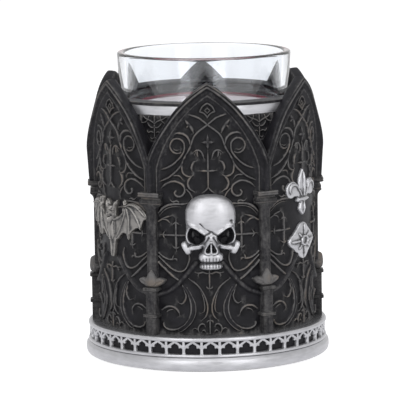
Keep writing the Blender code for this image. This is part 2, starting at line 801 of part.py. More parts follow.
def draw_bat(bm):
    """The bat with its wings spread."""
    right = drawn(BAT_HALF)
    outline = [*right, *[(-u, z) for u, z in right[:0:-1]]]
    add_plate(bm, outline, BAT_RELIEF)


# The upper half of the ornament, a lily, as its right half in drawing units
LILY_HALF = (
    (0.0, 67.6), (2.2, 64.2), (1.2, 60.4), (3.4, 64.0), (6.6, 63.8), (7.0, 60.4), (4.4, 59.8),
    (2.8, 58.8), (2.8, 57.2), (1.1, 56.8), (2.2, 53.4), (0.0, 51.8),
)
ROSETTE_Z = 42.4
ROSETTE_REACH = 6.8


def draw_ornament(bm):
    """A lily above a rosette of four pointed petals."""
    middle = ORNAMENT_SIDEWAYS / UNIT
    half = drawn(LILY_HALF)
    right = [(middle + u, z) for u, z in half]
    left = [(middle - u, z) for u, z in half[-2:0:-1]]
    add_plate(bm, right + left, ORNAMENT_RELIEF)
    rosette = []
    for quarter in range(4):
        for turned, share in ((-45, 0.34), (-17, 0.72), (0, 1.0), (17, 0.72)):
            angle = radians(90 * quarter + turned)
            reach = ROSETTE_REACH * share
            rosette.append((middle + reach * cos(angle), drawn_level(ROSETTE_Z) + reach * sin(angle)))
    add_plate(bm, rosette, ORNAMENT_RELIEF)


def build_body():
    """The cast body: its drums, wall, frames, pilasters and carving joined into one solid."""
    black = make_material("black_resin", (0.045, 0.045, 0.05), 0.55)
    bm = bmesh.new()
    turn(bm, foot_profile(), BAY_COUNT)
    body = make_object("holder_body", bm, black)
    drums = make_group("drums")
    bm = bmesh.new()
    turn(bm, collar_profile(), WALL_FACETS)
    make_tool("collar", bm, drums)
    make_tool("wall", draw_wall(), drums)
    make_tool("mullions", around(draw_mullion, pilaster_angles()), drums)
    for name, draw in (
        ("shafts", draw_shaft),
        ("rings", draw_rings),
        ("finials", draw_finial),
        ("capitals", draw_capital),
    ):
        make_tool(name, around(draw, pilaster_angles()), drums)
    combine(body, drums, "UNION")
    badges = make_group("badges")
    build_skull(badges)
    make_tool("bat", around(draw_bat, [-PANEL_ANGLE]), badges)
    make_tool("ornament", around(draw_ornament, [PANEL_ANGLE]), badges)
    combine(body, badges, "UNION")
    hollows = make_group("hollows")
    bay_angles = [tau * number / BAY_COUNT for number in range(BAY_COUNT)]
    make_tool("bays", around(draw_bay, bay_angles), hollows)
    combine(body, hollows, "DIFFERENCE")
    flat = body.modifiers.new("flat_faces", "DECIMATE")
    flat.decimate_type = "DISSOLVE"
    flat.angle_limit = FLAT_ANGLE
    body.location.z = FELT_PROUD
    shade_round(body, radians(30))
    return body


def glass_profile():
    """The glass cup's section, outside from the foot to the rim and inside back to the floor."""
    rim = GLASS_RIM_RADIUS
    waist = GLASS_WAIST_RADIUS
    foot = GLASS_FOOT_RADIUS
    wall = GLASS_WALL
    high = GLASS_HEIGHT
    return (
        (0.0, 0.0),
        (foot, 0.0),
        (foot + 0.75 * (waist - foot), 0.09 * high),
        (waist, 0.33 * high),
        (waist + 0.64 * (rim - waist), 0.63 * high),
        (rim, high - 0.15 * wall),
        (rim - 0.4 * wall, high),
        (rim - wall, high - 0.4 * wall),
        (waist - wall, 0.36 * high),
        (foot - 0.1 * wall, GLASS_FLOOR),
        (0.0, GLASS_FLOOR),
    )


def build_glass():
    """The clear glass cup that takes the tea light."""
    clear = make_material("clear_glass", (0.95, 0.97, 0.98), 0.03, transmission=1.0)
    bm = bmesh.new()
    turn(bm, glass_profile(), GLASS_FACETS)
    glass = make_object("glass_cup", bm, clear)
    glass.location.z = FELT_PROUD + GLASS_Z
    shade_round(glass, radians(50))


def build_disc():
    """The thin paper disc between the well's floor and the glass."""
    paper = make_material("printed_paper", (0.85, 0.72, 0.72), 0.6)
    bm = bmesh.new()
    profile = ((0.0, 0.0), (DISC_RADIUS, 0.0), (DISC_RADIUS, DISC_THICKNESS), (0.0, DISC_THICKNESS))
    turn(bm, profile, GLASS_FACETS)
    disc = make_object("cup_disc", bm, paper)
    disc.location.z = FELT_PROUD + DISC_Z


def build_felt():
    """The felt pad glued into the recess under the foot."""
    felt = make_material("black_felt", (0.02, 0.02, 0.02), 0.95)
    bm = bmesh.new()
    profile = ((0.0, 0.0), (FELT_RADIUS, 0.0), (FELT_RADIUS, FELT_THICKNESS), (0.0, FELT_THICKNESS))
    turn(bm, profile, BAY_COUNT)
    make_object("base_felt", bm, felt)


def main():
    """Build the four pieces."""
    clear_scene()
    build_body()
    build_glass()
    build_disc()
    build_felt()


main()
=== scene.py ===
"""The looks of a tea light candle holder: a cast resin body with six gothic arches full of tracery, a
skull, a bat and a silver ornament on its panels, a silver foot and band, and a clear glass cup.

Shapes are drawn in millimetres above the foot, and become metres when a piece is made.
"""

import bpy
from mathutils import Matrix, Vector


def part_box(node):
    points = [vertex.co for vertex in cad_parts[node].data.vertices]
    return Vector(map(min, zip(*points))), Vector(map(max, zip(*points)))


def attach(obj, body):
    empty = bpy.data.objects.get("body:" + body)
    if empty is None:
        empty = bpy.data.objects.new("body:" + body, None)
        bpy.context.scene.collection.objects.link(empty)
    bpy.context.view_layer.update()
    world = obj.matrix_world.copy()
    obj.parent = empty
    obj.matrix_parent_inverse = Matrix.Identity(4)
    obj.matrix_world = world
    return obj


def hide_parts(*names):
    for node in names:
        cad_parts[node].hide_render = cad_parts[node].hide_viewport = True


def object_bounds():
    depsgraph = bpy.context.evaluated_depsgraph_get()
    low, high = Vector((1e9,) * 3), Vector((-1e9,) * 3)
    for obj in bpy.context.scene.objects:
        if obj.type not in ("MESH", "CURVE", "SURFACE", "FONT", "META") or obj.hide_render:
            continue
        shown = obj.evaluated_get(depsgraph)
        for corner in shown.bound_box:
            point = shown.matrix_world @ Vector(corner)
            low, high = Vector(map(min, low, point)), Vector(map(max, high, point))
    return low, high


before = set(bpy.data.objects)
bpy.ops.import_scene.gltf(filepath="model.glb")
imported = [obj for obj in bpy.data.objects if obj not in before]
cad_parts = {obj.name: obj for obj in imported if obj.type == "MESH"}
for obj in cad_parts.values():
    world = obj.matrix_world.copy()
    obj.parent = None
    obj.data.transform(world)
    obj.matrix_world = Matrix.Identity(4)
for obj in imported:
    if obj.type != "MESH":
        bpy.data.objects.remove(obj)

from copy import copy
from math import atan2, cos, hypot, pi, radians, sin, sqrt, tau

import bmesh
import bpy
import numpy as np
from bpy.props import FloatProperty, FloatVectorProperty, IntProperty, PointerProperty
from mathutils import Matrix, Vector
from mathutils.geometry import delaunay_2d_cdt

bl_info = {
    "name": "Gothic tea light holder",
    "version": (1, 0, 0),
    "blender": (4, 5, 0),
    "location": "View3D > Sidebar > Holder",
    "description": "Builds the finished pieces of a cast tea light holder round its packed frame",
    "category": "Object",
}

CAD_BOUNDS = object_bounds()
BODY_LOW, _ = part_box("holder_body")
GLASS_LOW, GLASS_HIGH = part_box("glass_cup")
DISC_LOW, DISC_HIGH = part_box("cup_disc")
FELT_LOW, FELT_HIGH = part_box("base_felt")

# The drawing's unit, and the height of its zero, the underside of the foot
UNIT = 0.001
FOOT_Z = BODY_LOW[2]

# The wall: its panels are drawn along the drawing radius and stand on the wall radius
PANEL_COUNT = 6
PANEL_ANGLE = tau / PANEL_COUNT
DRAWING_RADIUS = 39.5
WALL_RADIUS = 38.7
BACK_RADIUS = 36.2
HALF_PANEL = 0.5 * PANEL_ANGLE * DRAWING_RADIUS
WALL_FOOT_Z = 12.0
COARSE_STEP = 2.0

# The pointed arch: the centre of each of its arcs is beyond the middle line
ARCH_SPRING_Z = 60.0
ARCH_OFFSET = 22.8
ARCH_TIP_Z = 100.2
ARCH_RADIUS = hypot(ARCH_OFFSET, ARCH_TIP_Z - ARCH_SPRING_Z)
# How much higher or lower than that each tip came out, from the front panel round to the right, and the
# heights and insets over which the shift fades
ARCH_RISES = (1.0, 0.75, 0.0, -0.6, 0.0, 0.75)
SHIFT_HEIGHTS = (80.0, 100.0)
SHIFT_INSETS = (3.4, 6.0)
# The frames stand on the capitals' top slabs, with a step of this height
ABACUS_Z = 61.2
ABACUS_STEP = 0.3
# The frame's moulding: inset from the arch's edge and radius
FRAME_INSETS = (0.0, 0.12, 0.32, 0.5, 0.72, 0.95, 1.2, 1.5, 1.7, 1.9, 2.2, 2.75, 3.15, 3.5, 3.75, 4.0, 4.4,
                4.9, 5.5)
FRAME_RADII = (39.5, 39.95, 40.3, 40.3, 40.05, 40.3, 40.62, 40.6, 40.3, 39.7, 39.45, 39.4, 39.5, 39.95,
               40.1, 39.85, 39.4, 39.05, 38.7)
# The frame bows outwards: how far at most, at which height, over what height it fades above, and how much
# of it is left at the capitals; the inner lines of the moulding take less of it
FRAME_SWELL = 2.0
FRAME_SWELL_Z = 74.5
FRAME_SWELL_FADE = 17.5
FRAME_SWELL_FOOT = 0.6
SWELL_INSETS = (0.0, 1.9, 2.8, 4.1)
SWELL_SHARES = (1.0, 1.0, 0.35, 0.0)
# Beside the pilaster the moulding runs straight down: distance from the pilaster's middle and inset
SIDE_WIDTHS = (0.0, 0.75, 1.0, 1.25, 1.75, 2.1, 2.4, 2.7, 3.1, 3.6, 4.4)
SIDE_INSETS = (1.3, 1.7, 1.9, 2.2, 2.75, 3.4, 3.75, 4.1, 4.6, 5.5, 5.9)
FRAME_WIDTH = 4.6
ARC_POINTS = 34
# The arch's top, rounded over to the back: how far it is drawn inwards at each radius, and at the back
TOP_RADIUS = 38.2
TOP_ROUNDING = ((0.1, 37.0), (0.3, 36.4))
BACK_EASE = 0.6
# Neighbouring panels meet here, this close to the pilaster's middle
SEAM = 0.005

# Ribs: half widths and heights, and the lines that the mesh follows, in shares of the half width
RIB_LINES = (0.5, 0.95, 1.35)
RIB_TOP = 0.22
THIN = 0.38
LINE = 0.30
FINE = 0.24
BROAD = 0.55
BAR = 1.0
RIB_HEIGHT = 0.8
BAR_HEIGHT = 1.25
RIB_STEP = 0.5
# A rib's ends taper over a share of its length, up to a limit
TAPER_SHARE = 0.25
TAPER_LIMIT = 2.2
# Dry brushing: the rib height where it starts, over what height it grows, its limit, and the frame's share
BRUSH_START = 0.3
BRUSH_RANGE = 1.1
BRUSH_LIMIT = 0.85
FRAME_BRUSH = 0.38

# Pilasters: the shaft is thicker below its upper ring
SHAFT_HALF = 1.95
SHAFT_RADIUS = 40.4
LOWER_SHAFT_RADIUS = 41.6
COLUMN_FOOT_Z = 12.1
COLUMN_ROOT_RADIUS = 38.3
COLUMN_BEND = 0.55
LOWER_RING = (18.3, 19.56)
UPPER_RING = (27.7, 29.0)
# A ring's section: half width and radius at its edge, its shoulder, its face and the groove in it
RING_EDGE = (2.4, 41.75)
RING_SHOULDER = (2.72, 42.1)
RING_FACE = (2.85, 42.25)
RING_GROOVE = (2.76, 42.1)
# Dry brushing of shafts, what more the rings and slabs catch, and between which radii
SHAFT_BRUSH = 0.7
RING_BRUSH = 0.75
RING_BRUSH_RADII = (42.0, 42.5)
LEAF_BRUSH = (0.35, 1.35)

# Silver foot
BAY_COUNT = 42
BAR_RADIUS = 42.6
BAR_BEVEL = 0.12
BAR_BEVEL_DEPTH = 0.14
BAY_BACK_RADIUS = 41.5
BAY_LOW_Z = 6.0
BAY_HIGH_Z = 10.5
MULLION_HALF = 0.52
# Painted shade: dark lines painted into the groove over the moulding and on the top of the rail, where the
# wall stands on it
GROOVE_Z = 4.85
GROOVE_HALF = 0.14
GROOVE_SHADE = 0.9
RAIL_SHADE = 0.75
RAIL_SHADE_HEIGHTS = (11.85, 12.1)

# Collar
DRUM_RADIUS = 36.4
DRUM_LOW_Z = 70.0
LIP_RADIUS = 36.95
COLLAR_TOP_Z = 93.8
BAND_LOW_Z = 89.3
BAND_HIGH_Z = 92.6
WELL_RADIUS = 30.5
WELL_FLOOR_Z = 86.4

# Skull, in its own place on the front panel
SKULL_U = 0.6
SKULL_VOXEL = 0.24
SKULL_BACK = -0.9
# Its bones: centre (along the wall, up and out of it), half sizes in the same order, lean and squareness
MIDDLE_BONES = {
    "cranium": ((0.0, 54.4, 0.2), (8.85, 7.75, 5.4), 0.0, 2.5),
    "forehead": ((0.0, 50.6, 0.4), (8.6, 5.3, 4.7), 0.0, 2.3),
    "nose": ((0.0, 46.4, 0.4), (2.6, 5.2, 4.3), 0.0, 2.3),
    "palate": ((0.0, 42.4, 0.3), (3.1, 3.0, 4.3), 0.0, 2.4),
    "upper teeth": ((0.0, 40.2, 0.2), (4.2, 1.8, 4.2), 0.0, 3.6),
    "lower teeth": ((0.0, 37.0, 0.1), (4.0, 1.3, 3.9), 0.0, 3.0),
    "nose bridge": ((0.0, 47.0, 3.5), (0.75, 1.6, 1.6), 0.0, 2.0),
}
PAIRED_BONES = {
    "brow": ((4.2, 50.5, 2.2), (4.5, 1.2, 3.1), 0.58, 2.3),
    "temple": ((6.7, 48.0, 0.3), (2.1, 3.7, 3.5), 0.1, 2.0),
    "cheek": ((5.1, 43.9, 1.7), (3.4, 1.0, 2.4), -0.2, 2.8),
    "cheek end": ((8.3, 43.5, 1.3), (1.1, 2.45, 2.5), -0.46, 3.8),
    "cheek root": ((7.3, 43.6, 1.0), (1.2, 1.2, 2.4), -0.3, 2.6),
}
# Its hollows: depth, reach of the sloping wall, the rim's height, place and width, and the dark paint's edge
HOLLOW_START = -0.12
EYE_SOCKET = (3.1, 1.5, 0.4, 0.32, 0.3, (-0.02, 0.1))
NOSTRIL = (1.9, 0.5, 0.35, 0.35, 0.28, (-0.06, 0.05))
TOOTH_PITCH = 1.08

# The bat and the silver ornament: how far aside they sit on their panels, and how much they are widened
BAT_SIDEWAYS = 1.6 / DRAWING_RADIUS
BAT_SPREAD = 1.12
ORNAMENT_SIDEWAYS = -0.7 / DRAWING_RADIUS
ORNAMENT_SPREAD = 1.35
ROSETTE_Z = 42.6

# Glass cup and the sheets under it; the cup is pressed a little into the paper disc
GLASS_SEAT = 0.42
GLASS_GAP = 0.35
GLASS_FLOOR = 4.0
MOUTH_FLARE = 0.2
RIM_BEND = 1.3
RIM_START = 19.4
SHEET_EDGE = 0.06
SHEET_ROWS = 14

# Turned pieces
FINE_FACETS = 168

# The photograph's view: its size and focal length in pixels, then where the camera stands
PHOTO_SIZE = 416
PHOTO_FOCAL = 3105.4
CAMERA_SHIFT = 2.149 / PHOTO_SIZE
CAMERA_DISTANCE = 1121.3
CAMERA_AIM_Z = 51.68
CAMERA_TILT = radians(8.277)
CAMERA_ROLL = radians(0.808)
CAMERA_AZIMUTH = radians(1.355)

# Lamps (name, place in metres, size, watts), the world's light and the floor
LAMPS = (
    ("key", (-0.40, -0.85, 0.50), (0.40, 1.0), 4.2), ("fill", (0.50, -0.85, 0.45), (0.40, 1.0), 4.0),
    ("top", (0.0, -0.10, 0.95), (0.7, 0.7), 2.5),
)
LAMP_AIM = (0.0, 0.0, 0.055)
WORLD_LIGHT = 0.4
FLOOR_COLOUR = (0.52, 0.52, 0.54)
FLOOR_GLOW = 0.84
FLOOR_RADIUS = 6.0


class HolderSizes(bpy.types.PropertyGroup):
    """Sizes that someone may want to change."""

    rib_height: FloatProperty(
        name="Rib height", description="How far the tracery stands out of the wall", unit="LENGTH",
        default=RIB_HEIGHT * UNIT, min=0.0002, max=0.002)
    bar_height: FloatProperty(
        name="Bar height", description="How far the thick bars stand out of the wall", unit="LENGTH",
        default=BAR_HEIGHT * UNIT, min=0.0002, max=0.003)
    bays: IntProperty(
        name="Bays", description="Number of small bays round the foot", default=BAY_COUNT, min=12, max=60)
    glass_wall: FloatProperty(
        name="Glass wall", description="Thickness of the glass cup's wall", unit="LENGTH",
        default=0.0027, min=0.001, max=0.004)


class HolderColours(bpy.types.PropertyGroup):
    """Colours of the paints, the paper and the felt."""

    black: FloatVectorProperty(
        name="Black resin", description="Charcoal paint of the body", subtype="COLOR",
        default=(0.0098, 0.0095, 0.0116), min=0.0, max=1.0)
    brushed: FloatVectorProperty(
        name="Dry brush", description="Grey caught on raised edges", subtype="COLOR",
        default=(0.145, 0.141, 0.140), min=0.0, max=1.0)
    brown: FloatVectorProperty(
        name="Brown dry brush", description="Brown caught on the outermost edges", subtype="COLOR",
        default=(0.20, 0.165, 0.135), min=0.0, max=1.0)
    silver: FloatVectorProperty(
        name="Silver paint", description="Paint of the foot, the band and the skull", subtype="COLOR",
        default=(0.46, 0.46, 0.48), min=0.0, max=1.0)
    pewter: FloatVectorProperty(
        name="Pewter paint", description="Paint of the bat", subtype="COLOR",
        default=(0.235, 0.225, 0.215), min=0.0, max=1.0)
    # The same colour paints the skull's black and the painted shade in the foot's groove and on the rail's
    # top
    wash: FloatVectorProperty(
        name="Dark wash", description="Paint left in the hollows of the metal", subtype="COLOR",
        default=(0.012, 0.012, 0.014), min=0.0, max=1.0)
    paper: FloatVectorProperty(
        name="Paper", description="Face of the disc under the glass", subtype="COLOR",
        default=(0.55, 0.35, 0.37), min=0.0, max=1.0)
    light_paper: FloatVectorProperty(
        name="Light paper", description="Paler places of the disc", subtype="COLOR",
        default=(0.66, 0.50, 0.50), min=0.0, max=1.0)
    red: FloatVectorProperty(
        name="Red rim", description="Printed rim of the disc", subtype="COLOR",
        default=(0.42, 0.02, 0.06), min=0.0, max=1.0)
    glass: FloatVectorProperty(
        name="Glass", description="Tint of the cup", subtype="COLOR",
        default=(0.86, 0.88, 0.905), min=0.0, max=1.0)
    felt: FloatVectorProperty(
        name="Felt", description="Pad under the foot", subtype="COLOR",
        default=(0.012, 0.012, 0.013), min=0.0, max=1.0)


def sizes():
    """The sizes set in the sidebar."""
    return bpy.context.scene.holder_sizes


def colours():
    """The colours set in the sidebar."""
    return bpy.context.scene.holder_colours


# Points and paths

def on_wall(u, z, radius, middle=0.0):
    """Points at u along the drawing radius, a height and a radius, round the axis."""
    angle = np.asarray(u, float) / DRAWING_RADIUS + middle
    z = np.asarray(z, float) + 0.0 * angle
    return np.stack([radius * np.sin(angle), -radius * np.cos(angle), z], axis=-1)


def smooth(points, step=RIB_STEP):
    """A smooth path through the points, about so far apart (Catmull-Rom)."""
    knots = np.array(points, float)
    knots = np.vstack([2 * knots[0] - knots[1], knots, 2 * knots[-1] - knots[-2]])
    path = []
    for a, b, c, d in zip(knots, knots[1:], knots[2:], knots[3:]):
        count = max(1, round(np.linalg.norm(c - b) / step))
        for t in np.arange(count) / count:
            path.append(0.5 * (2 * b + (c - a) * t + (2 * a - 5 * b + 4 * c - d) * t ** 2
                               + (3 * b - a - 3 * c + d) * t ** 3))
    path.append(knots[-2])
    return np.array(path)


def straight(points, step=RIB_STEP):
    """A path of straight runs, with points about so far apart."""
    knots = np.array(points, float)
    path = []
    for start, end in zip(knots, knots[1:]):
        count = max(1, round(np.linalg.norm(end - start) / step))
        path.extend(start + (end - start) * share for share in np.arange(count) / count)
    path.append(knots[-1])
    return np.array(path)


def arc(centre, radius, start, end, step=RIB_STEP):
    """Points on a circle, from one angle to another, in degrees from the right."""
    count = max(2, round(abs(radians(end - start)) * radius / step))
    angles = np.radians(np.linspace(start, end, count + 1))
    return np.array(centre) + radius * np.stack([np.cos(angles), np.sin(angles)], axis=-1)


def mirrored(path):
    """The same path on the other side of the middle line."""
    return path * np.array([-1.0, 1.0])


def smoothstep(low, high, value):
    """Rises smoothly from 0 to 1."""
    share = np.clip((value - low) / (high - low), 0.0, 1.0)
    return share * share * (3.0 - 2.0 * share)


def lengths_along(path):
    """The distance along a path to each of its points."""
    return np.concatenate([[0.0], np.cumsum(np.linalg.norm(np.diff(path, axis=0), axis=1))])


def nearest(points, path):
    """For each point, the distance to the path and how far along its points the nearest place is."""
    start = path[:-1]
    run = path[1:] - start
    offset = points[:, None, :] - start[None, :, :]
    share = np.clip((offset * run).sum(-1) / np.maximum((run * run).sum(-1), 1e-12), 0.0, 1.0)
    gaps = np.linalg.norm(offset - share[..., None] * run, axis=-1)
    best = gaps.argmin(axis=1)
    row = np.arange(len(points))
    return gaps[row, best], best + share[row, best]


def inside(points, loop):
    """Whether each point lies inside a closed outline."""
    within = np.zeros(len(points), bool)
    x, y = points[:, 0], points[:, 1]
    for (ax, ay), (bx, by) in zip(loop, np.roll(loop, -1, axis=0)):
        crosses = (ay > y) != (by > y)
        if ay != by:
            within ^= crosses & (x < (bx - ax) * (y - ay) / (by - ay) + ax)
    return within


def depth_inside(points, loop):
    """How far each point is inside a closed outline, and below nought outside it."""
    closed = np.vstack([loop, loop[:1]])
    gap, _ = nearest(points, closed)
    return np.where(inside(points, loop), gap, -gap)


# Ribs

class Rib:
    """A raised line of the tracery: its path, its half width along it, and its height."""

    def __init__(self, path, half, height, ends=(0.55, 0.55), swell=0.0):
        self.path = path
        along = lengths_along(path)
        zone = min(max(TAPER_SHARE * along[-1], 0.01), TAPER_LIMIT)
        width = np.full(len(path), half)
        width *= ends[0] + (1 - ends[0]) * smoothstep(0.0, zone, along)
        width *= ends[1] + (1 - ends[1]) * smoothstep(0.0, zone, along[-1] - along)
        width *= 1.0 + swell * np.sin(pi * along / along[-1])
        self.half = width
        self.height = height * np.sqrt(np.clip(width / half, 0.05, 1.0))

    def mirrored(self):
        """The same rib on the other side."""
        return self.widened(-1.0)

    def widened(self, spread):
        """The same rib with its places along the wall multiplied."""
        twin = copy(self)
        twin.path = self.path * np.array([spread, 1.0])
        return twin

    def loop(self, share):
        """A closed line round the rib, at a share of its half width."""
        run = np.gradient(self.path, axis=0)
        run /= np.maximum(np.linalg.norm(run, axis=1, keepdims=True), 1e-9)
        side = np.stack([-run[:, 1], run[:, 0]], axis=-1) * (self.half * share)[:, None]
        tip = self.path[-1] + run[-1] * self.half[-1] * share
        tail = self.path[0] - run[0] * self.half[0] * share
        return np.vstack([tail, self.path + side, tip, (self.path - side)[::-1]])

    def rise(self, points):
        """How far the rib lifts each point out of the wall."""
        lift = np.zeros(len(points))
        reach = self.half.max() * RIB_LINES[-1] + 0.1
        low = self.path.min(axis=0) - reach
        high = self.path.max(axis=0) + reach
        near = np.all((points > low) & (points < high), axis=1)
        if near.any():
            gap, place = nearest(points[near], self.path)
            steps = np.arange(len(self.path))
            half = np.interp(place, steps, self.half)
            height = np.interp(place, steps, self.height)
            lift[near] = height * (1.0 - smoothstep(RIB_TOP, RIB_LINES[-1], gap / half))
        return lift


def curve(points, *values, step=RIB_STEP):
    """A rib along a smooth line through the points."""
    return Rib(smooth(points, step), *values)


def stroke(points, *values, step=RIB_STEP):
    """A rib along straight lines between the points."""
    return Rib(straight(points, step), *values)


def both(*ribs):
    """Each rib with its twin on the other side."""
    return [rib for single in ribs for rib in (single, single.mirrored())]


def highest(ribs, points):
    """The greatest lift that any of the ribs gives each point."""
    return np.max([rib.rise(points) for rib in ribs], axis=0)


def upper_ribs(high):
    """The tracery under the arch: lozenge, crossed ogees, star, rings and leaves."""
    point = (0.3, 0.3)
    tail = smooth([(8.2, 78.6), (8.45, 77.2), (9.5, 75.5), (11.4, 73.5), (13.8, 71.8), (17.4, 70.5)])
    ring = np.vstack([arc((10.8, 79.1), 2.62, -118, 172), tail])
    ogee = smooth([(8.1, 88.4), (7.9, 89.2), (6.7, 89.85), (5.3, 89.7), (3.6, 89.2), (2.0, 88.2), (0.0, 86.5),
                   (-2.0, 85.1), (-4.3, 83.1), (-5.4, 81.0), (-6.0, 79.2), (-6.9, 77.3), (-8.3, 75.0),
                   (-9.1, 73.0), (-9.2, 71.2), (-8.9, 69.7), (-8.0, 68.9), (-6.8, 68.4), (-5.3, 68.8)])
    return both(
        curve([(0.0, 93.9), (1.2, 93.2), (2.1, 92.2), (2.65, 91.1)], LINE, high, (0.9, 0.8)),
        curve([(2.65, 91.1), (1.6, 90.75), (0.7, 90.1), (0.0, 89.0)], LINE, high, (0.8, 0.9)),
        stroke([(0.0, 92.35), (0.95, 91.5), (0.0, 90.55)], FINE, 0.8 * high, (0.9, 0.9)),
        Rib(ogee, THIN, high, (0.9, 0.4)),
        curve([(4.9, 83.6), (5.4, 85.0), (6.1, 86.2), (7.0, 87.2), (8.1, 88.4)], THIN, high, point, 0.75),
        curve([(6.4, 86.6), (6.9, 86.1), (7.4, 85.5)], LINE, 0.8 * high, (0.9, 0.3)),
        Rib(ring, THIN, high, (0.5, 0.35)),
        curve([(10.1, 77.8), (11.2, 77.55), (12.3, 78.0)], FINE, 0.7 * high, point),
        curve([(12.7, 82.3), (11.6, 83.3), (10.3, 83.65), (8.4, 83.3), (7.1, 82.3), (6.4, 81.0),
               (6.1, 79.2)], THIN, high, (0.3, 0.4), 0.35),
        curve([(1.3, 74.5), (1.7, 75.9), (2.3, 77.1), (3.3, 77.7), (4.4, 77.4), (5.2, 76.7)], THIN, high,
              point),
        curve([(3.7, 77.2), (3.75, 76.3), (3.4, 75.2)], LINE, 0.9 * high, (0.9, 0.3), 0.3),
        curve([(4.2, 76.9), (4.6, 76.2), (4.5, 75.6)], FINE, 0.7 * high, (0.9, 0.3)),
        curve([(4.1, 73.8), (5.0, 73.5), (5.5, 72.6), (5.85, 71.5), (5.5, 70.2)], LINE, high, point, 0.6),
        curve([(6.9, 77.3), (8.2, 75.2), (9.1, 73.2), (10.3, 71.3), (12.3, 69.4), (14.1, 68.0),
               (17.6, 66.4)], THIN, high, (0.6, 0.5)),
        curve([(9.0, 67.2), (9.7, 68.2), (10.6, 68.7), (12.9, 68.6)], LINE, 0.8 * high, point),
        curve([(5.3, 68.9), (6.7, 67.5), (7.2, 66.0), (6.7, 64.4), (4.9, 63.0)], THIN, high, (0.4, 0.4),
              0.2),
        curve([(0.0, 64.7), (0.8, 63.6), (2.0, 62.7)], LINE, 0.8 * high, (0.9, 0.4)),
    ) + [
        stroke([(0.0, 77.6), (0.0, 64.5)], THIN, 1.1 * high, (0.35, 0.7), 0.15),
        stroke([(-3.0, 70.4), (3.0, 70.4)], THIN, high, (0.2, 0.2), 0.2),
        stroke([(-2.2, 80.4), (2.2, 80.4)], 0.50, high, (0.1, 0.1), 0.5, step=0.3),
        stroke([(0.0, 83.0), (0.0, 77.8)], 0.50, high, (0.1, 0.1), 0.5, step=0.3),
    ]


def middle_ribs(high):
    """The tracery beside the skull: scrolls, arcs, leaves and crosses."""
    point = (0.3, 0.3)
    return both(
        curve([(7.9, 64.0), (6.6, 62.7), (5.8, 61.2), (5.4, 59.4)], LINE, 0.8 * high, (0.6, 0.4)),
        curve([(17.2, 64.0), (15.4, 65.6), (13.5, 66.4), (12.0, 66.7), (10.0, 66.1), (8.6, 64.9),
               (8.3, 63.5), (8.9, 62.1), (10.3, 61.3), (11.6, 61.7), (12.1, 62.7), (11.6, 63.2)], THIN,
              high, (0.4, 0.9), 0.15),
        curve([(18.4, 55.3), (16.4, 57.2), (14.6, 58.2), (12.0, 58.7), (9.4, 58.7), (7.6, 58.9)], BROAD,
              high, point),
        curve([(17.8, 54.6), (15.6, 56.7), (12.8, 57.7), (9.8, 57.7)], FINE, 0.6 * high, point),
        curve([(10.2, 59.0), (11.3, 59.8), (12.6, 59.4), (13.8, 60.1)], LINE, 0.8 * high, point, 0.3),
        curve([(18.4, 52.3), (16.0, 53.7), (13.1, 54.6)], LINE, 0.9 * high, (0.9, 0.3), 0.2),
        curve([(17.0, 53.1), (15.3, 53.1), (14.0, 52.0)], LINE, 0.8 * high, (0.8, 0.3), 0.2),
        stroke([(11.7, 53.4), (11.7, 41.9)], BROAD, high, (0.25, 0.25)),
        stroke([(8.4, 47.7), (17.6, 47.7)], BROAD, high, (0.5, 0.2)),
        curve([(10.3, 51.4), (11.7, 52.1), (13.1, 51.4)], LINE, 0.9 * high, point, 0.2, step=0.3),
        curve([(10.3, 43.8), (11.7, 43.1), (13.1, 43.8)], LINE, 0.9 * high, point, 0.2, step=0.3),
        curve([(15.9, 49.0), (16.5, 47.7), (15.9, 46.4)], LINE, 0.9 * high, point, 0.2, step=0.3),
        curve([(18.4, 41.3), (15.9, 39.6), (14.0, 39.1), (12.3, 39.2)], THIN, high, (0.8, 0.5)),
        curve([(13.1, 39.0), (12.9, 40.0), (12.5, 40.7)], LINE, high, (0.9, 0.3), 0.3, step=0.3),
        curve([(12.7, 39.4), (11.8, 39.3), (11.4, 38.6)], LINE, high, (0.9, 0.3), 0.3, step=0.3),
        curve([(18.4, 40.0), (16.1, 38.1), (14.2, 36.4), (12.2, 35.2), (9.9, 34.9), (8.5, 35.7),
               (7.7, 37.2), (7.0, 39.3), (7.3, 41.7)], THIN, high, (0.8, 0.4)),
    )


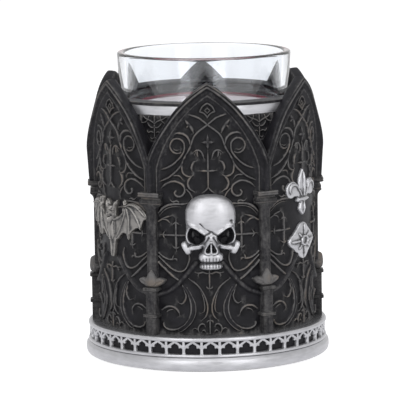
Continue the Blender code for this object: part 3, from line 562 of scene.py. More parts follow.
def lower_ribs(high, bar):
    """The tracery above the foot: the crossing bars, the great scrolls and the spear."""
    point = (0.3, 0.3)
    stem = [(9.6, 29.9), (7.9, 27.5), (7.0, 25.0), (6.6, 22.5), (6.9, 19.4), (8.2, 17.0), (10.1, 15.2),
            (12.6, 14.2), (15.0, 14.2), (16.6, 15.2), (16.9, 16.2)]
    return both(
        curve([(18.6, 38.0), (15.6, 35.4), (12.9, 33.1), (11.2, 31.9)], 0.5, high, (0.9, 0.8)),
        curve([(4.6, 38.2), (6.8, 35.4), (9.0, 32.9), (10.6, 31.0), (12.5, 29.3), (15.0, 27.6),
               (19.0, 26.3)], BAR, bar, (0.9, 1.0), step=0.8),
        curve([(8.8, 29.6), (7.0, 26.8), (6.0, 24.0), (5.8, 21.0), (6.9, 18.0), (8.8, 15.6), (11.2, 14.0)],
              1.1, 0.7 * high, (0.8, 0.5), step=0.8),
        curve(stem, THIN, high, (0.9, 0.8), 0.15),
        curve([(8.0, 29.3), (6.2, 26.0), (5.1, 23.0), (5.2, 19.5), (6.8, 16.6), (9.3, 14.2), (11.4, 13.2)],
              LINE, 0.85 * high, (0.9, 0.4)),
        curve([(9.5, 29.6), (8.7, 27.5), (8.4, 25.9), (9.0, 24.3), (10.1, 23.4), (11.4, 23.9)], THIN, high,
              (0.8, 0.3)),
        curve([(10.8, 19.1), (11.1, 20.4), (12.2, 21.8), (14.0, 22.4), (15.8, 22.1), (17.6, 20.9)], THIN,
              0.9 * high, (0.3, 0.5), 0.2),
        curve([(13.4, 21.3), (14.8, 21.0), (15.8, 20.2)], FINE, 0.5 * high, point),
        curve([(7.4, 32.4), (5.2, 30.9), (3.8, 29.6), (2.6, 27.8), (1.4, 25.2), (0.8, 22.6), (0.9, 20.5),
               (1.5, 19.0), (3.0, 17.4)], LINE, high, (0.5, 0.35), 0.2),
        curve([(3.5, 28.8), (2.4, 26.2), (1.9, 23.6), (1.8, 21.9), (2.2, 20.6), (3.3, 20.0)], FINE,
              0.9 * high, (0.4, 0.35), 0.2),
        curve([(0.3, 34.3), (1.1, 34.2), (2.2, 34.7), (3.5, 34.4), (4.9, 34.5)], LINE, 0.9 * high,
              (0.9, 0.35), 0.2),
        curve([(3.6, 34.3), (4.0, 33.7), (3.9, 33.0)], LINE, 0.9 * high, (0.9, 0.3), step=0.3),
        curve([(0.2, 28.8), (0.8, 29.1), (1.1, 29.6)], LINE, 0.9 * high, (0.9, 0.3), step=0.3),
        curve([(0.2, 17.6), (0.8, 17.3), (1.2, 16.8)], LINE, 0.9 * high, (0.9, 0.3), step=0.3),
        curve([(1.7, 15.2), (1.9, 16.0), (2.8, 16.4), (3.9, 15.6), (4.25, 14.4), (3.8, 13.1)], LINE, high,
              (0.6, 0.5), 0.2, step=0.4),
        curve([(4.2, 14.0), (4.8, 14.6), (5.5, 14.8), (6.3, 14.2)], FINE, 0.8 * high, (0.8, 0.4),
              step=0.4),
        curve([(1.4, 13.2), (2.2, 14.2), (2.9, 13.6)], FINE, 0.6 * high, point, step=0.4),
    ) + [
        stroke([(0.0, 35.8), (0.0, 28.2)], THIN, high, (0.7, 0.25)),
        stroke([(0.0, 18.7), (0.0, 12.8)], LINE, high, (0.35, 0.9), 0.3),
    ]


def panel_ribs():
    """All the ribs of one panel."""
    high = sizes().rib_height / UNIT
    bar = sizes().bar_height / UNIT
    return upper_ribs(high) + middle_ribs(high) + lower_ribs(high, bar)


# Meshes

class Drawing:
    """Points and lines in a plane, which triangles are then laid through."""

    def __init__(self, outline):
        self.points = []
        self.links = []
        self.loops = []
        self.add_loop(outline)
        self.faces = [self.loops[0]]

    def add_line(self, line, closed=False):
        """Lines that the mesh's edges follow."""
        first = len(self.points)
        count = len(line)
        self.points.extend(Vector(point) for point in line)
        self.links.extend((first + step, first + step + 1) for step in range(count - 1))
        if closed:
            self.links.append((first + count - 1, first))
        return list(range(first, first + count))

    def add_loop(self, line):
        """A closed line."""
        self.loops.append(self.add_line(line, closed=True))

    def add_ribs(self, ribs):
        """The crest and the contour lines of each rib."""
        for rib in ribs:
            self.add_line(rib.path)
            for share in RIB_LINES:
                self.add_loop(rib.loop(share))

    def add_field(self, outline, step):
        """Loose points on a grid inside an outline, so that wide surfaces follow their curve."""
        low, high = outline.min(axis=0), outline.max(axis=0)
        u, z = np.meshgrid(np.arange(low[0], high[0], step), np.arange(low[1], high[1], step))
        field = np.stack([u.ravel(), z.ravel()], axis=-1)
        field = field[depth_inside(field, outline) > 0.5 * step]
        self.points.extend(Vector(point) for point in field)

    def lay(self, merge=0.012):
        """The laid points and triangles, anticlockwise."""
        result = delaunay_2d_cdt(self.points, self.links, self.faces, 1, merge)
        flat = np.array([tuple(point) for point in result[0]])
        triangles = np.array(result[2])
        a, b, c = (flat[triangles[:, corner]] for corner in range(3))
        area = (b[:, 0] - a[:, 0]) * (c[:, 1] - a[:, 1]) - (c[:, 0] - a[:, 0]) * (b[:, 1] - a[:, 1])
        triangles[area < 0] = triangles[area < 0][:, ::-1]
        return flat, triangles


def rim_edges(triangles):
    """The directed edges that only one triangle has."""
    edges = np.vstack([triangles[:, [0, 1]], triangles[:, [1, 2]], triangles[:, [2, 0]]])
    known = {(a, b) for a, b in edges.tolist()}
    return [(a, b) for a, b in edges.tolist() if (b, a) not in known]


def chained(edges):
    """The rim's edges as one loop of points."""
    following = dict(edges)
    loop = [edges[0][0]]
    while following[loop[-1]] != loop[0]:
        loop.append(following[loop[-1]])
    return loop


def thickened(front, back, triangles):
    """A closed solid between a front and a back with the same triangles."""
    count = len(front)
    faces = [tuple(face) for face in triangles]
    faces += [tuple(face[::-1] + count) for face in triangles]
    faces += [(b, a, a + count, b + count) for a, b in rim_edges(triangles)]
    return np.vstack([front, back]), faces


def turned(profile, closed=True, wobble=None):
    """A surface of revolution from (radius, height) points; a closed profile makes a ring."""
    facets = FINE_FACETS
    points = np.array(profile, float)
    angles = tau * np.arange(facets) / facets
    rows = []
    for radius, height in points:
        z = np.full(facets, height)
        if wobble:
            z = z + wobble(height, angles)
        rows.append(np.stack([radius * np.sin(angles), -radius * np.cos(angles), z], axis=-1))
    verts = np.vstack(rows)
    faces = []
    count = len(points)
    for row in range(count if closed else count - 1):
        upper = (row + 1) % count
        for step in range(facets):
            after = (step + 1) % facets
            faces.append((row * facets + step, row * facets + after, upper * facets + after,
                          upper * facets + step))
    return verts, faces


def rounded(profile, radius=0.3, steps=3, closed=True):
    """A profile whose corners are rounded; a corner may name its own radius as a third value."""
    corners = [tuple(point) for point in profile]
    count = len(corners)
    result = []
    for number, corner in enumerate(corners):
        place = np.array(corner[:2], float)
        bend = corner[2] if len(corner) > 2 else radius
        if not closed and number in (0, count - 1) or bend == 0.0:
            result.append(place)
            continue
        before = np.array(corners[number - 1][:2], float) - place
        after = np.array(corners[(number + 1) % count][:2], float) - place
        reach = min(bend, 0.45 * np.linalg.norm(before), 0.45 * np.linalg.norm(after))
        start = place + before / np.linalg.norm(before) * reach
        end = place + after / np.linalg.norm(after) * reach
        for t in np.linspace(0.0, 1.0, steps + 1):
            result.append((1 - t) ** 2 * start + 2 * t * (1 - t) * place + t ** 2 * end)
    return result


def turned_about(verts, angle):
    """Points turned about the upright axis."""
    turn = np.array([[cos(angle), -sin(angle), 0.0], [sin(angle), cos(angle), 0.0], [0.0, 0.0, 1.0]])
    return np.asarray(verts) @ turn.T


def gather(parts):
    """Several (verts, faces) as one."""
    verts, faces, first = [], [], 0
    for points, polygons in parts:
        verts.append(points)
        faces.extend(tuple(int(corner) + first for corner in face) for face in polygons)
        first += len(points)
    return np.vstack(verts), faces


def mark_edges(mesh):
    """Store how convex and how hollow the surface is at each point, for the dry brushing, the metal's dark
    wash and the painted shade in the resin's hollows.
    """
    count = len(mesh.vertices)
    place = np.empty(count * 3)
    mesh.vertices.foreach_get("co", place)
    place = place.reshape(-1, 3) / UNIT
    normal = np.empty(count * 3)
    mesh.vertices.foreach_get("normal", normal)
    normal = normal.reshape(-1, 3)
    edges = np.empty(len(mesh.edges) * 2, int)
    mesh.edges.foreach_get("vertices", edges)
    edges = edges.reshape(-1, 2)
    convex = np.zeros(count)
    hollow = np.zeros(count)
    for here, there in ((0, 1), (1, 0)):
        run = place[edges[:, here]] - place[edges[:, there]]
        bend = 2.0 * (normal[edges[:, here]] * run).sum(-1) / np.maximum((run * run).sum(-1), 0.04)
        np.maximum.at(convex, edges[:, here], bend)
        np.maximum.at(hollow, edges[:, here], -bend)
    for name, values in (("convex", convex), ("hollow", hollow)):
        set_layer(mesh, name, evened(smoothstep(0.15, 3.0, values), edges))


def evened(values, edges, rounds=2):
    """Values blended with those at the other ends of their edges."""
    count = np.maximum(np.bincount(edges.ravel(), minlength=len(values)), 1)
    for _ in range(rounds):
        total = np.bincount(edges[:, 0], values[edges[:, 1]], len(values))
        total = total + np.bincount(edges[:, 1], values[edges[:, 0]], len(values))
        values = 0.5 * values + 0.5 * total / count
    return values


def set_layer(mesh, name, values):
    """Store one number for each point."""
    layer = mesh.attributes.new(name, "FLOAT", "POINT")
    layer.data.foreach_set("value", np.asarray(values, np.float32))


def make_piece(name, verts, faces, material, slot, nodes, sharp=None, layers=None):
    """A finished piece from drawing points: it rides on the body and stands for CAD nodes."""
    mesh = bpy.data.meshes.new(name)
    points = np.asarray(verts, float) * UNIT
    points[:, 2] += FOOT_Z
    mesh.from_pydata(points.tolist(), [], [tuple(int(corner) for corner in face) for face in faces])
    mesh.validate()
    mesh.shade_smooth()
    if sharp:
        mesh.set_sharp_from_angle(angle=radians(sharp))
    for layer, values in (layers or {}).items():
        set_layer(mesh, layer, values)
    mark_edges(mesh)
    mesh.materials.append(material)
    piece = bpy.data.objects.new(name, mesh)
    bpy.context.scene.collection.objects.link(piece)
    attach(piece, "root")
    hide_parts(*nodes)
    return piece


def resin_piece(name, shape, sharp, material=None, **layers):
    """A piece of the body in painted resin, with values stored on its mesh."""
    paint = material or resin_material()
    return make_piece(name, *shape, paint, "black_resin", ["holder_body"], sharp, layers)


def silver_piece(name, shape, sharp, material=None, **layers):
    """A piece of the body in metallic paint, with values stored on its mesh."""
    paint = material or silver_material()
    return make_piece(name, *shape, paint, "silver_paint", ["holder_body"], sharp, layers)


# Shader groups and materials

def new_group(name, inputs, outputs):
    """An empty shader node group; inputs are (name, default) floats and outputs (name, socket type)."""
    group = bpy.data.node_groups.new(name, "ShaderNodeTree")
    for label, default in inputs:
        socket = group.interface.new_socket(label, in_out="INPUT", socket_type="NodeSocketFloat")
        socket.default_value = default
    for label, kind in outputs:
        group.interface.new_socket(label, in_out="OUTPUT", socket_type=kind)
    return group, group.nodes.new("NodeGroupInput"), group.nodes.new("NodeGroupOutput")


def math_node(tree, operation, first, second=None, clamp=False):
    """A Math node, each operand a socket or a number; gives its output."""
    node = tree.nodes.new("ShaderNodeMath")
    node.operation = operation
    node.use_clamp = clamp
    for place, operand in enumerate((first, second)):
        if operand is None:
            continue
        if isinstance(operand, (int, float)):
            node.inputs[place].default_value = operand
        else:
            tree.links.new(operand, node.inputs[place])
    return node.outputs[0]


def noise_node(tree, vector, scale, detail=3.0, roughness=0.55, stretch=None):
    """A noise texture over the piece, which may be stretched; gives its value."""
    if stretch:
        mapping = tree.nodes.new("ShaderNodeMapping")
        mapping.inputs["Scale"].default_value = stretch
        tree.links.new(vector, mapping.inputs["Vector"])
        vector = mapping.outputs[0]
    noise = tree.nodes.new("ShaderNodeTexNoise")
    noise.inputs["Detail"].default_value = detail
    noise.inputs["Roughness"].default_value = roughness
    tree.links.new(vector, noise.inputs["Vector"])
    if isinstance(scale, (int, float)):
        noise.inputs["Scale"].default_value = scale
    else:
        tree.links.new(scale, noise.inputs["Scale"])
    return noise.outputs["Fac"]


def range_node(tree, value, low, high, to_low=0.0, to_high=1.0):
    """A smooth Map Range node; gives its output."""
    node = tree.nodes.new("ShaderNodeMapRange")
    node.interpolation_type = "SMOOTHSTEP"
    node.inputs["From Min"].default_value = low
    node.inputs["From Max"].default_value = high
    node.inputs["To Min"].default_value = to_low
    node.inputs["To Max"].default_value = to_high
    tree.links.new(value, node.inputs["Value"])
    return node.outputs["Result"]


def layer_node(tree, name):
    """The value stored on the mesh under a name."""
    node = tree.nodes.new("ShaderNodeAttribute")
    node.attribute_name = name
    return node.outputs["Fac"]


def mix_colour(tree, share, first, second):
    """A colour mix; each colour is a socket or an RGB value."""
    node = tree.nodes.new("ShaderNodeMix")
    node.data_type = "RGBA"
    tree.links.new(share, node.inputs["Factor"])
    for label, colour in (("A", first), ("B", second)):
        socket = next(item for item in node.inputs if item.name == label and item.type == "RGBA")
        if isinstance(colour, bpy.types.NodeSocket):
            tree.links.new(colour, socket)
        else:
            socket.default_value = (*colour, 1.0)
    return next(item for item in node.outputs if item.type == "RGBA")


def piece_place(tree):
    """Where a point lies on its own piece."""
    return tree.nodes.new("ShaderNodeTexCoord").outputs["Object"]


def swing(tree, value, middle, share):
    """How far a value is from its middle, multiplied by a number or a socket."""
    return math_node(tree, "MULTIPLY", math_node(tree, "SUBTRACT", value, middle), share)


def scaled(colour, share):
    """A darker or lighter colour."""
    return tuple(share * value for value in colour)


def dry_brush_group():
    """Where a nearly dry brush leaves its paint: on raised and convex places, broken up by the grain."""
    group, entry, leave = new_group(
        "dry brush",
        [("Amount", 1.0), ("Grain", 900.0), ("Raised", 0.5)],
        [("Mask", "NodeSocketFloat"), ("Outer", "NodeSocketFloat")])
    place = piece_place(group)
    grain = noise_node(group, place, entry.outputs["Grain"], 4.0, 0.65)
    patches = noise_node(group, place, 140.0, 3.0)
    streaks = noise_node(group, place, 700.0, 2.0, 0.6, (1.0, 1.0, 0.18))
    raised = math_node(group, "MULTIPLY", layer_node(group, "raised"), entry.outputs["Raised"])
    caught = math_node(group, "MAXIMUM", layer_node(group, "convex"), raised)
    broken = math_node(group, "ADD", math_node(group, "MULTIPLY", grain, 0.55),
                       math_node(group, "MULTIPLY", streaks, 0.45))
    level = math_node(group, "ADD", caught, swing(group, broken, 0.5, 1.3))
    level = math_node(group, "ADD", level, swing(group, patches, 0.5, 0.5))
    mask = math_node(group, "MULTIPLY", range_node(group, level, 0.12, 0.95), entry.outputs["Amount"],
                     clamp=True)
    outer = math_node(group, "MULTIPLY", range_node(group, level, 0.55, 1.2),
                      range_node(group, patches, 0.42, 0.62))
    group.links.new(mask, leave.inputs["Mask"])
    group.links.new(outer, leave.inputs["Outer"])
    return group


def grain_group():
    """The fine unevenness of cast and painted surfaces, as a height."""
    group, entry, leave = new_group(
        "cast grain", [("Scale", 1200.0), ("Pits", 0.3)],
        [("Height", "NodeSocketFloat"), ("Tone", "NodeSocketFloat")])
    place = piece_place(group)
    fine = noise_node(group, place, entry.outputs["Scale"], 4.0, 0.6)
    broad = noise_node(group, place, 260.0, 2.0)
    pits = range_node(group, noise_node(group, place, 1900.0, 2.0, 0.5), 0.30, 0.42)
    height = math_node(group, "ADD", fine, math_node(group, "MULTIPLY", broad, 1.2))
    height = math_node(group, "ADD", height, math_node(group, "MULTIPLY", pits, entry.outputs["Pits"]))
    group.links.new(height, leave.inputs["Height"])
    group.links.new(broad, leave.inputs["Tone"])
    return group


def wash_group():
    """Dark wash that has run into the hollows of a metallic paint, together with the stored dark places: the
    skull's black paint and the foot's painted shade.
    """
    group, entry, leave = new_group(
        "dark wash", [("Strength", 1.0), ("Spread", 0.4)],
        [("Mask", "NodeSocketFloat"), ("Brush", "NodeSocketFloat")])
    place = piece_place(group)
    patches = noise_node(group, place, 420.0, 4.0, 0.6)
    brush = noise_node(group, place, 520.0, 3.0, 0.6, (0.35, 0.35, 1.5))
    hollow = math_node(group, "ADD", layer_node(group, "hollow"),
                       swing(group, patches, 0.52, entry.outputs["Spread"]))
    mask = math_node(group, "MULTIPLY", range_node(group, hollow, 0.05, 0.6), entry.outputs["Strength"],
                     clamp=True)
    # The stored dark places: black paint in the skull, and painted shade in the foot's groove and on the
    # rail's top
    mask = math_node(group, "MAXIMUM", mask, layer_node(group, "dark"))
    group.links.new(mask, leave.inputs["Mask"])
    group.links.new(brush, leave.inputs["Brush"])
    return group


def shared_group(name, build):
    """A node group that is built once."""
    return bpy.data.node_groups.get(name) or build()


def add_group(tree, group, **values):
    """Place a node group and set its inputs."""
    node = tree.nodes.new("ShaderNodeGroup")
    node.node_tree = group
    for label, value in values.items():
        node.inputs[label].default_value = value
    return node.outputs


def new_material(name):
    """A material with a Principled shader; gives it, its tree and the shader."""
    material = bpy.data.materials.new(name)
    material.use_nodes = True
    tree = material.node_tree
    return material, tree, tree.nodes["Principled BSDF"]


def add_bump(tree, shader, height, strength, distance):
    """A bump that feeds the shader's normal."""
    bump = tree.nodes.new("ShaderNodeBump")
    bump.inputs["Strength"].default_value = strength
    bump.inputs["Distance"].default_value = distance
    tree.links.new(height, bump.inputs["Height"])
    tree.links.new(bump.outputs["Normal"], shader.inputs["Normal"])


def resin_material(name="brushed_resin", amount=0.95, raised=0.5):
    """Charcoal painted resin, dry-brushed grey and brown on its raised edges, with painted shade darkening
    its hollows.
    """
    if name in bpy.data.materials:
        return bpy.data.materials[name]
    material, tree, shader = new_material(name)
    brush = add_group(tree, shared_group("dry brush", dry_brush_group), Amount=amount, Grain=1000.0,
                      Raised=raised)
    grain = add_group(tree, shared_group("cast grain", grain_group), Scale=1500.0, Pits=0.4)
    black = colours().black
    ground = mix_colour(tree, range_node(tree, grain["Tone"], 0.35, 0.7), black, scaled(black, 1.5))
    # Painted shade: the ground is darkened in the hollows beside ribs, frames and rings, where shade falls
    ground = mix_colour(tree, layer_node(tree, "hollow"), ground, scaled(black, 0.25))
    grey = mix_colour(tree, brush["Outer"], colours().brushed, colours().brown)
    paint = mix_colour(tree, brush["Mask"], ground, grey)
    tree.links.new(paint, shader.inputs["Base Color"])
    tree.links.new(range_node(tree, brush["Mask"], 0.0, 1.0, 0.46, 0.62), shader.inputs["Roughness"])
    shader.inputs["Specular IOR Level"].default_value = 0.13
    add_bump(tree, shader, grain["Height"], 0.35, 0.00012)
    return material


def metal_material(name, colour, wash, spread, roughness):
    """Metallic paint with brush marks, a dark wash in its hollows, and the dark places stored on its mesh:
    black paint on the skull and painted shade on the foot.
    """
    if name in bpy.data.materials:
        return bpy.data.materials[name]
    material, tree, shader = new_material(name)
    washed = add_group(tree, shared_group("dark wash", wash_group), Strength=wash, Spread=spread)
    grain = add_group(tree, shared_group("cast grain", grain_group), Scale=1300.0, Pits=0.15)
    tone = mix_colour(tree, range_node(tree, washed["Brush"], 0.3, 0.7), scaled(colour, 0.82), colour)
    # The wash colour, which also paints the skull's black and the painted shade of the foot's groove and rail
    # top
    paint = mix_colour(tree, washed["Mask"], tone, colours().wash)
    tree.links.new(paint, shader.inputs["Base Color"])
    tree.links.new(range_node(tree, washed["Mask"], 0.0, 1.0, 0.85, 0.0), shader.inputs["Metallic"])
    rough = range_node(tree, washed["Brush"], 0.25, 0.75, roughness - 0.05, roughness + 0.09)
    rough = math_node(tree, "SUBTRACT", rough, math_node(tree, "MULTIPLY", washed["Mask"], 0.16))
    tree.links.new(rough, shader.inputs["Roughness"])
    add_bump(tree, shader, math_node(tree, "ADD", grain["Height"], washed["Brush"]), 0.25, 0.0001)
    return material


def silver_material():
    """The bright silver of the foot, the band and the skull."""
    return metal_material("foot_silver", colours().silver, 0.9, 0.35, 0.36)


def pewter_material():
    """The darker, heavily washed metal paint of the bat."""
    return metal_material("bat_pewter", colours().pewter, 1.0, 1.1, 0.40)


def glass_material():
    """Clear glass, which keeps its plain transmission."""
    material, tree, shader = new_material("cup_glass")
    shader.inputs["Base Color"].default_value = (*colours().glass, 1.0)
    shader.inputs["Roughness"].default_value = 0.0
    shader.inputs["IOR"].default_value = 1.5
    shader.inputs["Transmission Weight"].default_value = 1.0
    place = piece_place(tree)
    add_bump(tree, shader, noise_node(tree, place, 45.0, 1.0), 0.06, 0.0004)
    return material


def paper_material():
    """Pinkish paper with a printed red rim."""
    material, tree, shader = new_material("disc_paper")
    place = piece_place(tree)
    flat = tree.nodes.new("ShaderNodeVectorMath")
    flat.operation = "MULTIPLY"
    flat.inputs[1].default_value = (1.0, 1.0, 0.0)
    tree.links.new(place, flat.inputs[0])
    reach = tree.nodes.new("ShaderNodeVectorMath")
    reach.operation = "LENGTH"
    tree.links.new(flat.outputs[0], reach.inputs[0])
    fibres = noise_node(tree, place, 900.0, 5.0, 0.7)
    edge = math_node(tree, "ADD", reach.outputs["Value"], math_node(tree, "MULTIPLY", fibres, 0.0004))
    rim = range_node(tree, edge, RIM_START * UNIT, (RIM_START + 0.5) * UNIT)
    clouds = range_node(tree, noise_node(tree, place, 110.0), 0.35, 0.65)
    face = mix_colour(tree, clouds, colours().paper, colours().light_paper)
    tree.links.new(mix_colour(tree, rim, face, colours().red), shader.inputs["Base Color"])
    shader.inputs["Roughness"].default_value = 0.6
    add_bump(tree, shader, fibres, 0.2, 0.00005)
    return material


def felt_material():
    """Short black felt."""
    material, tree, shader = new_material("pad_felt")
    place = piece_place(tree)
    fibres = noise_node(tree, place, 2600.0, 4.0, 0.7)
    tone = mix_colour(tree, fibres, colours().felt, scaled(colours().felt, 3.0))
    tree.links.new(tone, shader.inputs["Base Color"])
    shader.inputs["Roughness"].default_value = 0.95
    shader.inputs["Sheen Weight"].default_value = 0.3
    add_bump(tree, shader, fibres, 0.8, 0.0002)
    return material


# The arcaded wall

def side_inset(u):
    """The inset that the moulding has beside the pilaster, where it runs straight down."""
    return np.interp(HALF_PANEL - np.abs(u), SIDE_WIDTHS, SIDE_INSETS)


def arch_inset(u, z):
    """How far a point is from the arch's outer edge."""
    return ARCH_RADIUS - np.hypot(np.abs(u) + ARCH_OFFSET, z - ARCH_SPRING_Z)


def frame_bow(z):
    """The share of the frame's outward bow at each height."""
    above = 0.5 * (1.0 + np.cos(pi * np.clip((z - FRAME_SWELL_Z) / FRAME_SWELL_FADE, 0.0, 1.0)))
    below = np.interp(z, (ABACUS_Z, FRAME_SWELL_Z), (FRAME_SWELL_FOOT, 1.0))
    return np.where(z < FRAME_SWELL_Z, below, above)


def frame_radius(flat):
    """The radius of the frame's moulding, or of the plain wall."""
    u, z = flat[:, 0], flat[:, 1]
    inset = np.minimum(arch_inset(u, z), side_inset(u))
    radius = np.interp(inset, FRAME_INSETS, FRAME_RADII)
    radius = radius + FRAME_SWELL * frame_bow(z) * np.interp(inset, SWELL_INSETS, SWELL_SHARES)
    return np.where(z > ABACUS_Z - ABACUS_STEP, radius, WALL_RADIUS)


def frame_line(inset):
    """One line of the moulding's right half: up beside the pilaster and along the arch to its tip."""
    reach = ARCH_RADIUS - inset
    line = []
    u = HALF_PANEL - np.interp(inset, SIDE_INSETS, SIDE_WIDTHS)
    turn_z = ARCH_SPRING_Z + sqrt(max(reach ** 2 - (u + ARCH_OFFSET) ** 2, 0.0))
    if inset > SIDE_INSETS[0]:
        line.extend(np.array([u, z]) for z in np.linspace(ABACUS_Z, turn_z, 7)[:-1])
    start = atan2(turn_z - ARCH_SPRING_Z, u + ARCH_OFFSET)
    end = np.arccos(ARCH_OFFSET / reach)
    for angle in np.linspace(start, end, ARC_POINTS):
        u = max(reach * cos(angle) - ARCH_OFFSET, 0.0)
        line.append(np.array([u, ARCH_SPRING_Z + reach * sin(angle)]))
    return np.array(line)


def frame_share(flat):
    """1 on the upper part of the arch's frame, fading downwards and inwards."""
    inset = arch_inset(flat[:, 0], flat[:, 1])
    return smoothstep(*SHIFT_HEIGHTS, flat[:, 1]) * (1.0 - smoothstep(*SHIFT_INSETS, inset))


def panel_outline():
    """The panel's edge: its foot, its sides and its arch, anticlockwise."""
    starts = sorted(frame_line(inset)[0][1] for inset in FRAME_INSETS if 0.0 < inset <= SIDE_INSETS[0])
    foot = np.linspace(-HALF_PANEL, HALF_PANEL, 29)[1:-1]
    side = [WALL_FOOT_Z, *np.arange(WALL_FOOT_Z + COARSE_STEP, ABACUS_Z - 1.0, COARSE_STEP)]
    side += [ABACUS_Z - ABACUS_STEP, ABACUS_Z]
    side += list(np.arange(ABACUS_Z + COARSE_STEP, starts[0] - 1.0, COARSE_STEP)) + starts
    right = [np.array([HALF_PANEL, z]) for z in side]
    right += list(frame_line(0.0))
    left = [point * (-1.0, 1.0) for point in right[-2::-1]]
    return np.array([np.array([u, WALL_FOOT_Z]) for u in foot] + right + left)


def panel_front():
    """The carved front of one panel: its flat points, triangles, radii and how raised they are."""
    outline = panel_outline()
    drawing = Drawing(outline)
    ribs = panel_ribs()
    drawing.add_ribs(ribs)
    for inset in FRAME_INSETS[1:]:
        line = frame_line(inset)
        drawing.add_line(line)
        drawing.add_line(mirrored(line))
    for level in (ABACUS_Z - ABACUS_STEP, ABACUS_Z):
        for side in (-1.0, 1.0):
            drawing.add_line([(side * (HALF_PANEL - FRAME_WIDTH), level), (side * HALF_PANEL, level)])
    drawing.add_field(outline, COARSE_STEP)
    flat, triangles = drawing.lay()
    lift = highest(ribs, flat)
    radius = np.maximum(frame_radius(flat), WALL_RADIUS + lift)
    raised = np.clip((lift - BRUSH_START) / BRUSH_RANGE, 0.0, BRUSH_LIMIT)
    framed = (flat[:, 1] > ABACUS_Z - ABACUS_STEP) & (radius > WALL_RADIUS + lift + 0.3)
    raised = np.where(framed, FRAME_BRUSH, raised)
    return flat, triangles, radius, raised


def arcade_wall():
    """The whole wall: six panels joined at the pilasters, each closed at its back and over its arch."""
    flat, triangles, radius, raised = panel_front()
    loop = chained(rim_edges(triangles))
    edge = flat[loop]
    rings = [(edge, TOP_RADIUS), *((eased(edge, distance), reach) for distance, reach in TOP_ROUNDING)]
    rim = eased(edge, BACK_EASE)
    back = Drawing(rim)
    back.add_field(rim, 2.0 * COARSE_STEP)
    back_flat, back_triangles = back.lay()
    gap = np.linalg.norm(back_flat[:, None, :] - rim[None, :, :], axis=-1)
    rows = [list(loop)]
    first = len(flat)
    for _ in rings:
        rows.append(list(range(first, first + len(loop))))
        first += len(loop)
    rows.append([first + twin for twin in gap.argmin(axis=0)])
    faces = [tuple(face) for face in triangles]
    faces += [tuple(face[::-1] + first) for face in back_triangles]
    side = HALF_PANEL - SEAM
    for step, here in enumerate(loop):
        after = (step + 1) % len(loop)
        u, v = flat[here][0], flat[loop[after]][0]
        if min(abs(u), abs(v)) > side and u * v > 0:
            continue
        faces += [(front[after], front[step], rear[step], rear[after]) for front, rear in zip(rows, rows[1:])]
    parts = []
    layers = [(flat, radius), *rings, (back_flat, BACK_RADIUS)]
    for number, extra in enumerate(ARCH_RISES):
        turn = PANEL_ANGLE * number
        points = []
        for line, reach in layers:
            points.append(on_wall(line[:, 0], line[:, 1] + extra * frame_share(line), reach, turn))
        parts.append((np.vstack(points), faces))
    verts, faces = gather(parts)
    rest = len(parts[0][0]) - len(flat)
    layer = np.tile(np.concatenate([raised, np.zeros(rest)]), PANEL_COUNT)
    return welded(verts, faces, layer)


def eased(line, distance):
    """The panel's edge with its arch drawn inwards, which rounds the top over to the back."""
    moved = line.copy()
    for number, (u, z) in enumerate(line):
        share = smoothstep(0.0, 4.0, HALF_PANEL - abs(u))
        if z < ABACUS_Z or share == 0.0:
            continue
        reach = ARCH_RADIUS - arch_inset(u, z) - distance * share
        angle = atan2(z - ARCH_SPRING_Z, abs(u) + ARCH_OFFSET)
        across = reach * cos(angle) - ARCH_OFFSET
        if across > 0.0 and u != 0.0:
            moved[number] = (across if u > 0.0 else -across, ARCH_SPRING_Z + reach * sin(angle))
        else:
            moved[number] = (0.0, ARCH_SPRING_Z + sqrt(reach ** 2 - ARCH_OFFSET ** 2))
    return moved


def welded(verts, faces, layer, merge=0.004):
    """Join points that lie together, as along the panels' sides."""
    keys = np.round(np.asarray(verts) / merge).astype(np.int64)
    _, first, inverse = np.unique(keys, axis=0, return_index=True, return_inverse=True)
    inverse = inverse.ravel()
    joined = [tuple(dict.fromkeys(inverse[list(face)].tolist())) for face in faces]
    joined = [face for face in joined if len(face) > 2]
    return np.asarray(verts)[first], joined, layer[first]


# Pilasters

def column_section(half, radius):
    """A pilaster's section: half its width and its radius, with rounded front corners."""
    bend = min(COLUMN_BEND, 0.8 * half)
    turn = np.linspace(0.0, 0.5 * pi, 5)
    right = [(half, COLUMN_ROOT_RADIUS), (half, 0.5 * (COLUMN_ROOT_RADIUS + radius))]
    right += [(half - bend + bend * cos(angle), radius - bend + bend * sin(angle)) for angle in turn]
    right.append((0.4 * half, radius))
    left = [(-x, y) for x, y in right[::-1]]
    return right + [(0.0, radius)] + left


def ring_rows(low, high, below, above):
    """A ring round the shaft, with a groove in its middle; the shaft's radius is given below and above it."""
    middle = 0.5 * (low + high)
    return [
        (low - 0.12, SHAFT_HALF, below), (low, *RING_EDGE), (low + 0.1, *RING_SHOULDER),
        (low + 0.3, *RING_FACE), (middle - 0.14, *RING_FACE), (middle, *RING_GROOVE),
        (middle + 0.14, *RING_FACE), (high - 0.3, *RING_FACE), (high - 0.1, *RING_SHOULDER),
        (high, *RING_EDGE), (high + 0.12, SHAFT_HALF, above),
    ]


def column_rows():
    """The pilaster from the foot up: height, half width and radius."""
    thick, thin = LOWER_SHAFT_RADIUS, SHAFT_RADIUS
    rows = [(z, SHAFT_HALF, thick) for z in (COLUMN_FOOT_Z, 13.6, 15.2, 16.8)]
    rows += ring_rows(*LOWER_RING, thick, thick)
    rows += [(z, SHAFT_HALF, thick) for z in (21.2, 22.8, 24.4, 26.0)]
    rows += ring_rows(*UPPER_RING, thick, thin)
    rows += [(z, SHAFT_HALF, thin) for z in np.arange(30.5, 56.0, 1.6)]
    return rows + capital_rows()


